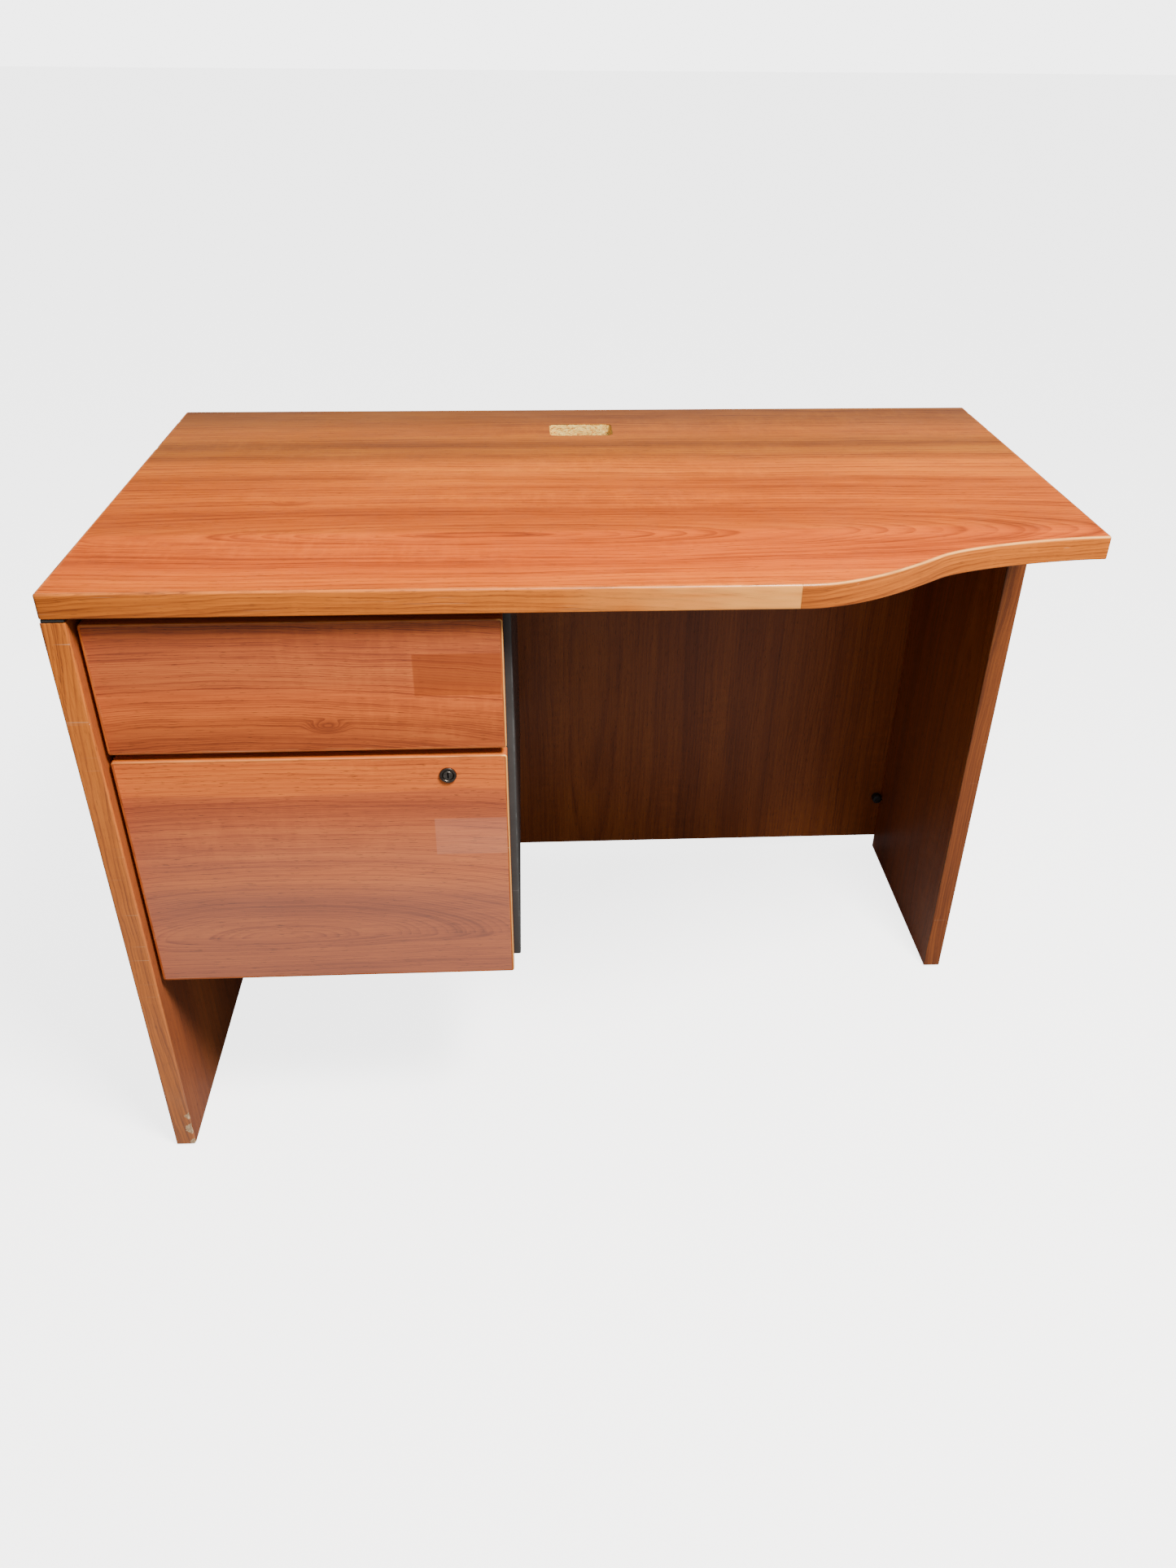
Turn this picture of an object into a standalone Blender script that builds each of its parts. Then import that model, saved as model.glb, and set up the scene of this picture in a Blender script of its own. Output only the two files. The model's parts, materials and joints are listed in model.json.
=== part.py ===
"""Teacher desk: a laminated worktop with an S-shaped front edge on two end panels, with a hung steel
pedestal that holds a box drawer and a locking file drawer. Metres, +Z up, the front faces -Y.
The origin is on the floor, below the middle of the worktop's width and depth."""

import math

import bmesh
import bpy
from mathutils import Vector
from mathutils.geometry import interpolate_bezier

# ---------------------------------------------------------------- driving dimensions
GAP = 0.0003  # clearance between pieces that touch on the real desk

WIDTH = 1.067
DEPTH = 0.610
HEIGHT = 0.749
TOP_THICKNESS = 0.0254
BAND = 0.003  # plastic edge band

# The front edge runs straight, then swings back to the right in an S of two arcs.
CURVE_START = 0.190
CURVE_MIDDLE = (0.344, 0.071)
CURVE_SLOPE = math.radians(33)
CURVE_HANDLES = (0.062, 0.029, 0.040, 0.052)
CURVE_SETBACK = 0.1145
CURVE_POINTS = 14
BAND_SEAM = 0.184  # where two lengths of front band meet

CUTOUT_CENTRE = (-0.004, 0.5135)
CUTOUT_SIZE = (0.0815, 0.0515)
CUTOUT_RADIUS = 0.008

PANEL_THICKNESS = 0.024
RIGHT_PANEL_INSET = 0.0025
RIGHT_PANEL_FRONT = 0.2945
PANEL_EASING = 0.0006
GLIDE_HEIGHT = 0.003
GLIDE_RADIUS = 0.011
GLIDE_FOOT_RADIUS = 0.00825
GLIDE_FROM_END = 0.040
SPACER_HEIGHT = 0.0043
SPACER_INSET = 0.001

MODESTY_THICKNESS = 0.0061
MODESTY_BOTTOM = 0.0255
FITTING_RADIUS = 0.0075
FITTING_LENGTH = 0.0115
FITTING_ROUNDING = 0.002
FITTING_HEIGHTS = (0.105, 0.620)

BRACKET_FRONTS = (0.350, 0.530)
BRACKET_WIDTH = 0.040
BRACKET_LEG = 0.030
BRACKET_SHEET = 0.002

CASE_SHEET = 0.0012
CASE_FOLD = 0.0105  # how far the case side's front and back edges fold inwards
CASE_RETURN = 0.030
CASE_RIGHT = -0.094
CASE_LEFT = -0.507
CASE_FRONT = 0.0345
CASE_DEPTH = 0.520
CASE_BOTTOM = 0.272
CASE_BACK_INSET = 0.008

RAIL_SETBACK = 0.0021  # the cross rails' web behind the case's front edge
TOP_RAIL = (0.026, 0.018)  # depth and height of each channel
BOTTOM_RAIL = (0.030, 0.011)
LOCK_RAIL_DEPTH = 0.0088
LOCK_RAIL = (0.550, 0.574)  # bottom and top
REAR_RAIL_INSET = 0.050

FRONT_SETBACK = 0.014
FRONT_THICKNESS = 0.019
FRONT_EASING = 0.0008
FRONT_LEFT = -0.5055
FRONT_RIGHT = -0.102
UPPER_FRONT = (0.5664, 0.7114)  # bottom and top
LOWER_FRONT = (0.263, 0.558)

DRAWER_LENGTH = 0.466
UPPER_SIDES = (0.582, 0.690)
LOWER_SIDES = (0.288, 0.530)
DRAWER_FLANGE = 0.012  # carries the bottom
DRAWER_HEM = 0.005  # turned outwards along the top
FILE_RAIL_INSET = 0.023
FILE_RAIL_HEIGHT = 0.018
FILE_RAIL_THICKNESS = 0.002

SLIDE_WIDTH = 0.0127
SLIDE_LENGTH = 0.460
SLIDE_FRONT = 0.040
UPPER_SLIDE_HEIGHT = 0.622
LOWER_SLIDE_HEIGHT = 0.400
CASE_MEMBER_REACH = 0.0088  # how far its flanges come out of the post
MIDDLE_MEMBER_SPAN = (0.0030, 0.0096)  # web and flange ends, from the post
UPPER_DRAWER_MEMBER_END = 0.0030
LOWER_DRAWER_MEMBER_END = 0.0050
UPPER_MEMBER_HALVES = (0.0170, 0.0125)  # half heights of the case and drawer members
LOWER_MEMBER_HALVES = (0.0225, 0.0135)
MIDDLE_MEMBER_HALF = 0.018

LOCK_X = -0.164
LOCK_Z = 0.5355
LOCK_BEZEL_RADIUS = 0.009
LOCK_BEZEL_PROUD = 0.0025
LOCK_BEZEL_CHAMFER = (0.001, 0.0007)
LOCK_BARREL_RADIUS = 0.008
LOCK_PLUG_RADIUS = 0.0055
LOCK_PLUG_PROUD = 0.0021
LOCK_REAR = 0.0465
KEYWAY = (0.0014, 0.024, 0.0076)
CAM_LENGTH = 0.030
CAM_THICKNESS = 0.002
CAM_HUB_RADIUS = 0.0075
CAM_TIP_RADIUS = 0.005
NUT_RADIUS = 0.0135
NUT_THICKNESS = 0.0035

# ---------------------------------------------------------------- derived dimensions
TOP_UNDERSIDE = HEIGHT - TOP_THICKNESS
LEFT = -WIDTH / 2
RIGHT = WIDTH / 2
ORIGIN_Y = DEPTH / 2  # the worktop's front edge lies this far in front of the origin
PANEL_TOP = TOP_UNDERSIDE - SPACER_HEIGHT
PANEL_REAR = DEPTH - MODESTY_THICKNESS - GAP
CASE_REAR = CASE_FRONT + CASE_DEPTH
DRAWER_FRONT = FRONT_SETBACK + FRONT_THICKNESS + GAP
DRAWER_REAR = DRAWER_FRONT + DRAWER_LENGTH
CLEAR_LEFT = CASE_LEFT + CASE_FOLD + GAP
CLEAR_RIGHT = CASE_RIGHT - CASE_FOLD - GAP
DRAWER_LEFT = CLEAR_LEFT + SLIDE_WIDTH + GAP
DRAWER_RIGHT = CLEAR_RIGHT - SLIDE_WIDTH - GAP

# ---------------------------------------------------------------- a clean scene and its collections
for old in list(bpy.data.objects):
    bpy.data.objects.remove(old, do_unlink=True)

desk = bpy.data.collections.new("teacher_desk")
cutters = bpy.data.collections.new("cutters")
bpy.context.scene.collection.children.link(desk)
bpy.context.scene.collection.children.link(cutters)


# ---------------------------------------------------------------- helpers
def finish(name, colour, roughness, metallic=0.0):
    """A Principled material of one plain colour."""
    material = bpy.data.materials.new(name)
    material.use_nodes = True
    shader = material.node_tree.nodes["Principled BSDF"]
    shader.inputs["Base Color"].default_value = (*colour, 1.0)
    shader.inputs["Roughness"].default_value = roughness
    shader.inputs["Metallic"].default_value = metallic
    return material


def empty(name, place):
    """An empty that carries a moving assembly. Every place is measured from the worktop's front edge."""
    carrier = bpy.data.objects.new(name, None)
    carrier.location = (place[0], place[1] - ORIGIN_Y, place[2])
    carrier.empty_display_size = 0.05
    desk.objects.link(carrier)
    return carrier


def add(name, data, place, material, parent=None, collection=desk):
    """An object at a place measured from the worktop's front edge."""
    piece = bpy.data.objects.new(name, data)
    data.materials.append(material)
    piece.location = (place[0], place[1] - ORIGIN_Y, place[2])
    if parent:
        piece.parent = parent
        piece.location = piece.location - parent.location
    collection.objects.link(piece)
    return piece


def box(name, low, high, material, parent=None, edge=0.0):
    """A box between two corners, with its edges eased where edge is given."""
    low = Vector(low)
    high = Vector(high)
    mesh = bpy.data.meshes.new(name)
    shape = bmesh.new()
    bmesh.ops.create_cube(shape, size=1.0)
    bmesh.ops.scale(shape, vec=high - low, verts=shape.verts)
    shape.to_mesh(mesh)
    shape.free()
    piece = add(name, mesh, (low + high) / 2, material, parent)
    if edge:
        bevel = piece.modifiers.new("eased_edges", "BEVEL")
        bevel.width = edge
        bevel.segments = 1
    return piece


def folded_sheet(name, fold, along, span, material, parent=None, thickness=CASE_SHEET):
    """A folded sheet: the fold's points lie in the plane across the axis, on the sheet's mid surface."""
    mesh = bpy.data.meshes.new(name)
    shape = bmesh.new()
    centre = [sum(point[i] for point in fold) / len(fold) for i in (0, 1)]
    middle = sum(span) / 2

    def world(point, distance):
        values = [point[0] - centre[0], point[1] - centre[1]]
        values.insert("XYZ".index(along), distance - middle)
        return values

    edge = [shape.verts.new(world(point, span[0])) for point in fold]
    lines = [shape.edges.new(pair) for pair in zip(edge, edge[1:])]
    swept = bmesh.ops.extrude_edge_only(shape, edges=lines)
    moved = [item for item in swept["geom"] if isinstance(item, bmesh.types.BMVert)]
    shift = Vector([span[1] - span[0] if axis == along else 0.0 for axis in "XYZ"])
    bmesh.ops.translate(shape, vec=shift, verts=moved)
    shape.to_mesh(mesh)
    shape.free()
    place = list(centre)
    place.insert("XYZ".index(along), middle)
    piece = add(name, mesh, place, material, parent)
    solid = piece.modifiers.new("sheet", "SOLIDIFY")
    solid.thickness = thickness
    solid.offset = 0.0
    solid.use_even_offset = True
    return piece


def flat_curve(name, outlines, thickness):
    """A filled 2D curve from closed outlines; an outline inside another one is a hole."""
    curve = bpy.data.curves.new(name, "CURVE")
    curve.dimensions = "2D"
    curve.fill_mode = "BOTH"
    curve.extrude = thickness / 2
    for outline in outlines:
        spline = curve.splines.new("POLY")
        spline.points.add(len(outline) - 1)
        for point, (across, up) in zip(spline.points, outline):
            point.co = (across, up, 0.0, 1.0)
        spline.use_cyclic_u = True
    return curve


def slab(name, outlines, low, high, material):
    """A flat piece that lies level between two heights."""
    curve = flat_curve(name, outlines, high - low)
    return add(name, curve, (0.0, 0.0, (low + high) / 2), material)


def upright_plate(name, outlines, thickness, place, material, parent):
    """A flat piece that stands square to Y, with its front face at the place."""
    middle = (place[0], place[1] + thickness / 2, place[2])
    piece = add(name, flat_curve(name, outlines, thickness), middle, material, parent)
    piece.rotation_euler = (math.radians(90), 0.0, 0.0)
    return piece


def turned(name, profile, place, material, parent=None, steps=32, collection=desk):
    """A turned solid on the Y axis from (radius, y) points that run along its outer side from -Y to +Y."""
    mesh = bpy.data.meshes.new(name)
    points = [(radius, 0.0, -y) for radius, y in profile]
    mesh.from_pydata(points, [(i, i + 1) for i in range(len(points) - 1)], [])
    piece = add(name, mesh, place, material, parent, collection)
    piece.rotation_euler = (math.radians(90), 0.0, 0.0)
    screw = piece.modifiers.new("turned", "SCREW")
    screw.steps = steps
    screw.render_steps = steps
    screw.use_merge_vertices = True
    screw.merge_threshold = 0.00001
    return piece


def cut(piece, cutter):
    """Takes the cutter out of the piece and keeps it as a hidden guide."""
    cutter.hide_render = True
    cutter.display_type = "WIRE"
    difference = piece.modifiers.new("cut", "BOOLEAN")
    difference.operation = "DIFFERENCE"
    difference.object = cutter


# ---------------------------------------------------------------- materials
laminate = finish("top_laminate", (0.50, 0.21, 0.075), 0.38)
edge_plastic = finish("edge_band", (0.60, 0.32, 0.12), 0.42)
panel_laminate = finish("panel_laminate", (0.46, 0.18, 0.07), 0.42)
front_laminate = finish("front_laminate", (0.50, 0.19, 0.08), 0.42)
shaded_laminate = finish("modesty_laminate", (0.34, 0.13, 0.06), 0.45)
black_plastic = finish("black_plastic", (0.015, 0.015, 0.016), 0.5)
case_steel = finish("case_enamel", (0.035, 0.036, 0.038), 0.4, 0.2)
drawer_steel = finish("drawer_enamel", (0.05, 0.05, 0.052), 0.45, 0.2)
zinc_steel = finish("zinc_steel", (0.55, 0.55, 0.54), 0.35, 1.0)
lock_metal = finish("lock_metal", (0.22, 0.20, 0.18), 0.35, 1.0)


# ---------------------------------------------------------------- worktop and its edge bands
def front_edge():
    """The front edge's points from the straight's end to the right end, as two Bezier arcs."""
    start_reach, middle_before, middle_after, end_reach = CURVE_HANDLES
    slope = Vector((math.cos(CURVE_SLOPE), math.sin(CURVE_SLOPE)))
    start = Vector((CURVE_START, 0.0))
    middle = Vector(CURVE_MIDDLE)
    end = Vector((RIGHT, CURVE_SETBACK))
    ahead = Vector((1.0, 0.0))
    first = interpolate_bezier(
        start, start + ahead * start_reach, middle - slope * middle_before, middle, CURVE_POINTS
    )
    second = interpolate_bezier(
        middle, middle + slope * middle_after, end - ahead * end_reach, end, CURVE_POINTS
    )
    return [Vector(point[:2]) for point in first + second[1:]]


def inward(points, distance):
    """The same line moved towards the rear, square to itself."""
    moved = []
    for i, point in enumerate(points):
        before = points[max(i - 1, 0)]
        after = points[min(i + 1, len(points) - 1)]
        run = (after - before).normalized() if 0 < i < len(points) - 1 else Vector((1.0, 0.0))
        moved.append(point + Vector((-run.y, run.x)) * distance)
    return moved


def rounded_rectangle(centre, size, radius, steps=5):
    """The corners of a rectangle with round corners, anticlockwise."""
    points = []
    for turn, (side_x, side_y) in enumerate(((1, 1), (-1, 1), (-1, -1), (1, -1))):
        x = centre[0] + side_x * (size[0] / 2 - radius)
        y = centre[1] + side_y * (size[1] / 2 - radius)
        for i in range(steps + 1):
            angle = math.radians(90) * (turn + i / steps)
            points.append((x + radius * math.cos(angle), y + radius * math.sin(angle)))
    return points


board_span = (TOP_UNDERSIDE, HEIGHT)
outer_edge = front_edge()
band_back = inward(outer_edge, BAND)
core_edge = inward(outer_edge, BAND + GAP)
core_edge[-1].x = RIGHT - BAND - GAP
core_left = LEFT + BAND + GAP
core_rear = DEPTH - BAND - GAP

core = [(core_left, BAND + GAP), *core_edge, (RIGHT - BAND - GAP, core_rear), (core_left, core_rear)]
cutout = rounded_rectangle(CUTOUT_CENTRE, CUTOUT_SIZE, CUTOUT_RADIUS)
slab("worktop", [core, cutout], *board_span, laminate)

box("front_band_left", (LEFT, 0.0, TOP_UNDERSIDE), (BAND_SEAM - GAP, BAND, HEIGHT), edge_plastic)
right_band = [(BAND_SEAM, 0.0), *outer_edge, *reversed(band_back), (BAND_SEAM, BAND)]
slab("front_band_right", [right_band], *board_span, edge_plastic)
box("left_side_band", (LEFT, BAND + GAP, TOP_UNDERSIDE), (LEFT + BAND, core_rear, HEIGHT), edge_plastic)
box(
    "right_side_band",
    (RIGHT - BAND, CURVE_SETBACK + BAND + GAP, TOP_UNDERSIDE),
    (RIGHT, core_rear, HEIGHT),
    edge_plastic,
)
box("rear_band", (LEFT, DEPTH - BAND, TOP_UNDERSIDE), (RIGHT, DEPTH, HEIGHT), edge_plastic)


# ---------------------------------------------------------------- end panels, their bands, spacers, glides
def end_panel(side, outer, inner, front):
    """An end panel with its front edge band, the black strip on top of it and its two glides."""
    low_x = min(outer, inner)
    high_x = max(outer, inner)
    band_low = (low_x, front, GLIDE_HEIGHT)
    band_high = (high_x, front + BAND, PANEL_TOP)
    box(f"{side}_panel_band", band_low, band_high, edge_plastic)
    panel_low = (low_x, front + BAND + GAP, GLIDE_HEIGHT)
    panel_high = (high_x, PANEL_REAR, PANEL_TOP)
    box(f"{side}_panel", panel_low, panel_high, panel_laminate, edge=PANEL_EASING)
    strip_low = (low_x + SPACER_INSET, front + SPACER_INSET, PANEL_TOP + GAP)
    strip_high = (high_x - SPACER_INSET, PANEL_REAR, TOP_UNDERSIDE - GAP)
    box(f"{side}_spacer_strip", strip_low, strip_high, black_plastic)
    middle = (outer + inner) / 2
    for end, y in (("front", front + GLIDE_FROM_END), ("rear", PANEL_REAR - GLIDE_FROM_END)):
        mesh = bpy.data.meshes.new(f"{side}_glide_{end}")
        shape = bmesh.new()
        bmesh.ops.create_cone(
            shape,
            cap_ends=True,
            segments=24,
            radius1=GLIDE_FOOT_RADIUS,
            radius2=GLIDE_RADIUS,
            depth=GLIDE_HEIGHT - GAP,
        )
        shape.to_mesh(mesh)
        shape.free()
        add(mesh.name, mesh, (middle, y, (GLIDE_HEIGHT - GAP) / 2), zinc_steel)


right_outer = RIGHT - RIGHT_PANEL_INSET
right_inner = right_outer - PANEL_THICKNESS
end_panel("left", LEFT, LEFT + PANEL_THICKNESS, 0.0)
end_panel("right", right_outer, right_inner, RIGHT_PANEL_FRONT)

# ---------------------------------------------------------------- modesty panel and its corner fittings
box(
    "modesty_panel",
    (LEFT, DEPTH - MODESTY_THICKNESS, MODESTY_BOTTOM),
    (right_outer, DEPTH, TOP_UNDERSIDE - GAP),
    shaded_laminate,
)
knob = [
    (0.0, 0.0),
    (FITTING_RADIUS - FITTING_ROUNDING, 0.0),
    (FITTING_RADIUS, FITTING_ROUNDING),
    (FITTING_RADIUS, FITTING_LENGTH),
    (0.0, FITTING_LENGTH),
]
fitting_front = PANEL_REAR - FITTING_LENGTH
fitting_reach = FITTING_RADIUS + GAP
for side, x in (("left", LEFT + PANEL_THICKNESS + fitting_reach), ("right", right_inner - fitting_reach)):
    for level, z in zip(("lower", "upper"), FITTING_HEIGHTS):
        turned(f"{side}_fitting_{level}", knob, (x, fitting_front, z), black_plastic, steps=24)

# ---------------------------------------------------------------- brackets under the worktop
bracket_clearance = GAP + BRACKET_SHEET / 2
corner = (right_inner - bracket_clearance, TOP_UNDERSIDE - bracket_clearance)
fold = [(corner[0] - BRACKET_LEG, corner[1]), corner, (corner[0], corner[1] - BRACKET_LEG)]
for end, y in zip(("front", "rear"), BRACKET_FRONTS):
    span = (y, y + BRACKET_WIDTH)
    folded_sheet(f"top_bracket_{end}", fold, "Y", span, zinc_steel, thickness=BRACKET_SHEET)


# ---------------------------------------------------------------- the hung steel case
def case_side(name, outer, inwards):
    """A sheet whose front and back edges fold inwards and then along the sheet, as the slides' posts."""
    half = CASE_SHEET / 2
    skin = outer + inwards * half
    post = outer + inwards * (CASE_FOLD - half)
    front = CASE_FRONT + half
    rear = CASE_REAR - half
    fold = [
        (post, front + CASE_RETURN),
        (post, front),
        (skin, front),
        (skin, rear),
        (post, rear),
        (post, rear - CASE_RETURN),
    ]
    folded_sheet(name, fold, "Z", (CASE_BOTTOM, TOP_UNDERSIDE - GAP), case_steel)


case_side("case_left_side", CASE_LEFT, 1)
case_side("case_right_side", CASE_RIGHT, -1)

clear = (CLEAR_LEFT, CLEAR_RIGHT)
rail_front = CASE_FRONT + RAIL_SETBACK


def cross_rail(name, front, depth, span, opening):
    """A channel across the case that opens up, down or to the rear."""
    low, high = span
    rear = front + depth
    folds = {
        "down": [(front, low), (front, high), (rear, high), (rear, low)],
        "up": [(front, high), (front, low), (rear, low), (rear, high)],
        "rear": [(rear, low), (front, low), (front, high), (rear, high)],
    }
    folded_sheet(name, folds[opening], "X", clear, case_steel)


rail_top = TOP_UNDERSIDE - GAP - CASE_SHEET / 2
rail_base = CASE_BOTTOM + CASE_SHEET / 2
head_span = (rail_top - TOP_RAIL[1], rail_top)
base_span = (rail_base, rail_base + BOTTOM_RAIL[1])
for end, front in (("front", rail_front), ("rear", CASE_REAR - REAR_RAIL_INSET)):
    cross_rail(f"case_top_rail_{end}", front, TOP_RAIL[0], head_span, "down")
    cross_rail(f"case_bottom_rail_{end}", front, BOTTOM_RAIL[0], base_span, "up")
cross_rail("case_lock_rail", rail_front, LOCK_RAIL_DEPTH, LOCK_RAIL, "rear")
back_y = CASE_REAR - CASE_BACK_INSET
box(
    "case_back",
    (CLEAR_LEFT, back_y, CASE_BOTTOM),
    (CLEAR_RIGHT, back_y + CASE_SHEET, TOP_UNDERSIDE - GAP),
    case_steel,
)


# ---------------------------------------------------------------- slides, drawer bodies and fronts
def channel(name, web, flange_end, height, half_height, parent=None):
    """A slide member: a channel along Y, its web across X and its flanges running to flange_end."""
    fold = [
        (flange_end, height - half_height),
        (web, height - half_height),
        (web, height + half_height),
        (flange_end, height + half_height),
    ]
    span = (SLIDE_FRONT, SLIDE_FRONT + SLIDE_LENGTH)
    folded_sheet(name, fold, "Y", span, zinc_steel, parent)


def slide_pair(drawer, height, halves, member_end, carrier, middle_carrier=None):
    """The slides on both sides of a drawer; the middle members are left out without their own carrier."""
    half = CASE_SHEET / 2
    case_half, drawer_half = halves
    for side, start, inwards in (("left", CLEAR_LEFT, 1), ("right", CLEAR_RIGHT, -1)):
        name = f"{drawer}_slide_{side}"
        case_web = start + inwards * half
        case_end = start + inwards * CASE_MEMBER_REACH
        channel(f"{name}_case_member", case_web, case_end, height, case_half)
        drawer_web = start + inwards * (SLIDE_WIDTH - half)
        drawer_end = start + inwards * member_end
        channel(f"{name}_drawer_member", drawer_web, drawer_end, height, drawer_half, carrier)
        if middle_carrier:
            web, end = [start + inwards * reach for reach in MIDDLE_MEMBER_SPAN]
            channel(f"{name}_middle_member", web, end, height, MIDDLE_MEMBER_HALF, middle_carrier)


def drawer_body(drawer, sides, carrier):
    """A steel drawer body: two flanged sides, a bottom on their flanges and a back."""
    low, high = sides
    half = CASE_SHEET / 2
    span = (DRAWER_FRONT, DRAWER_REAR)
    for side, outer, inwards in (("left", DRAWER_LEFT, 1), ("right", DRAWER_RIGHT, -1)):
        skin = outer + inwards * half
        fold = [
            (skin + inwards * DRAWER_FLANGE, low + half),
            (skin, low + half),
            (skin, high - half),
            (skin - inwards * DRAWER_HEM, high - half),
        ]
        folded_sheet(f"{drawer}_{side}_side", fold, "Y", span, drawer_steel, carrier)
    inner_left = DRAWER_LEFT + CASE_SHEET + GAP
    inner_right = DRAWER_RIGHT - CASE_SHEET - GAP
    floor = low + CASE_SHEET + GAP
    floor_rear = DRAWER_REAR - CASE_SHEET - GAP
    box(
        f"{drawer}_bottom",
        (inner_left, DRAWER_FRONT, floor),
        (inner_right, floor_rear, floor + CASE_SHEET),
        drawer_steel,
        carrier,
    )
    back_low = (inner_left, floor_rear + GAP, floor)
    box(f"{drawer}_back", back_low, (inner_right, DRAWER_REAR, high), drawer_steel, carrier)


def drawer_front(drawer, span, carrier):
    """A front that covers the case's front edges."""
    low = (FRONT_LEFT, FRONT_SETBACK, span[0])
    high = (FRONT_RIGHT, FRONT_SETBACK + FRONT_THICKNESS, span[1])
    return box(f"{drawer}_front", low, high, front_laminate, carrier, edge=FRONT_EASING)


carrier_x = (FRONT_LEFT + FRONT_RIGHT) / 2
upper_carrier = empty("upper_drawer_carrier", (carrier_x, FRONT_SETBACK, UPPER_SLIDE_HEIGHT))
lower_carrier = empty("lower_drawer_carrier", (carrier_x, FRONT_SETBACK, LOWER_SLIDE_HEIGHT))
middle_carrier = empty("lower_slide_middle_carrier", (carrier_x, SLIDE_FRONT, LOWER_SLIDE_HEIGHT))

drawer_front("upper_drawer", UPPER_FRONT, upper_carrier)
drawer_body("upper_drawer", UPPER_SIDES, upper_carrier)
slide_pair("upper", UPPER_SLIDE_HEIGHT, UPPER_MEMBER_HALVES, UPPER_DRAWER_MEMBER_END, upper_carrier)

lower_front = drawer_front("lower_drawer", LOWER_FRONT, lower_carrier)
drawer_body("lower_drawer", LOWER_SIDES, lower_carrier)
slide_pair(
    "lower", LOWER_SLIDE_HEIGHT, LOWER_MEMBER_HALVES, LOWER_DRAWER_MEMBER_END, lower_carrier, middle_carrier
)

rail_left = DRAWER_LEFT + FILE_RAIL_INSET
rail_right = DRAWER_RIGHT - FILE_RAIL_INSET
half_rail = FILE_RAIL_THICKNESS / 2
for side, x in (("left", rail_left), ("right", rail_right)):
    box(
        f"file_rail_{side}",
        (x - half_rail, DRAWER_FRONT, LOWER_SIDES[1] - FILE_RAIL_HEIGHT),
        (x + half_rail, DRAWER_REAR - CASE_SHEET - GAP * 2, LOWER_SIDES[1]),
        zinc_steel,
        lower_carrier,
    )

# ---------------------------------------------------------------- the cam lock on the file drawer
def circle(radius, count):
    """Points around a circle; six of them make a nut's outline."""
    turns = [math.tau * i / count for i in range(count)]
    return [(radius * math.cos(turn), radius * math.sin(turn)) for turn in turns]


lock_place = (LOCK_X, FRONT_SETBACK, LOCK_Z)
housing_rear = LOCK_REAR - FRONT_SETBACK
bore = LOCK_PLUG_RADIUS + GAP
bezel_back = -GAP
chamfer_in, chamfer_back = LOCK_BEZEL_CHAMFER
housing_profile = [
    (bore, -LOCK_BEZEL_PROUD),
    (LOCK_BEZEL_RADIUS - chamfer_in, -LOCK_BEZEL_PROUD),
    (LOCK_BEZEL_RADIUS, chamfer_back - LOCK_BEZEL_PROUD),
    (LOCK_BEZEL_RADIUS, bezel_back),
    (LOCK_BARREL_RADIUS, bezel_back),
    (LOCK_BARREL_RADIUS, housing_rear),
    (bore, housing_rear),
    (bore, -LOCK_BEZEL_PROUD),
]
turned("lock_housing", housing_profile, lock_place, lock_metal, lower_carrier)

hole_radius = LOCK_BARREL_RADIUS + GAP
hole_ends = (-FRONT_THICKNESS / 2, FRONT_THICKNESS * 1.5)
hole_profile = [(0.0, hole_ends[0]), (hole_radius, hole_ends[0])]
hole_profile += [(hole_radius, hole_ends[1]), (0.0, hole_ends[1])]
hole = turned("lock_hole", hole_profile, lock_place, lock_metal, lower_carrier, 32, cutters)
cut(lower_front, hole)

nut_outline = circle(NUT_RADIUS, 6)
nut_place = (LOCK_X, DRAWER_FRONT, LOCK_Z)
nut_outlines = [nut_outline, circle(hole_radius, 32)]
upright_plate("lock_nut", nut_outlines, NUT_THICKNESS, nut_place, zinc_steel, lower_carrier)

plug_carrier = empty("lock_plug_carrier", lock_place)
plug_carrier.parent = lower_carrier
plug_carrier.location = plug_carrier.location - lower_carrier.location
plug_profile = [(0.0, -LOCK_PLUG_PROUD), (LOCK_PLUG_RADIUS, -LOCK_PLUG_PROUD)]
plug_profile += [(LOCK_PLUG_RADIUS, housing_rear), (0.0, housing_rear)]
plug = turned("lock_plug", plug_profile, lock_place, lock_metal)
plug.parent = plug_carrier
plug.location = (0.0, 0.0, 0.0)

slot_mesh = bpy.data.meshes.new("keyway")
slot_shape = bmesh.new()
bmesh.ops.create_cube(slot_shape, size=1.0)
bmesh.ops.scale(slot_shape, vec=KEYWAY, verts=slot_shape.verts)
slot_shape.to_mesh(slot_mesh)
slot_shape.free()
keyway = add("keyway", slot_mesh, lock_place, lock_metal, None, cutters)
cut(plug, keyway)


def cam_outline(steps=8):
    """The cam's outline: a round hub at the plug's axis and a round tip to its left."""
    points = []
    ends = ((0.0, CAM_HUB_RADIUS, -90), (CAM_TIP_RADIUS - CAM_LENGTH, CAM_TIP_RADIUS, 90))
    for centre, radius, start in ends:
        for i in range(steps + 1):
            angle = math.radians(start + 180 * i / steps)
            points.append((centre + radius * math.cos(angle), radius * math.sin(angle)))
    return points


cam_place = (LOCK_X, LOCK_REAR + GAP, LOCK_Z)
cam = upright_plate("lock_cam", [cam_outline()], CAM_THICKNESS, cam_place, zinc_steel, None)
cam.parent = plug_carrier
cam.location = (0.0, cam.location.y - (FRONT_SETBACK - ORIGIN_Y), 0.0)

# ---------------------------------------------------------------- shading of the round pieces
for piece in desk.objects:
    if piece.type == "MESH" and piece.modifiers.get("turned"):
        piece.data.shade_smooth()
        piece.data.set_sharp_from_angle(angle=math.radians(30))
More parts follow.
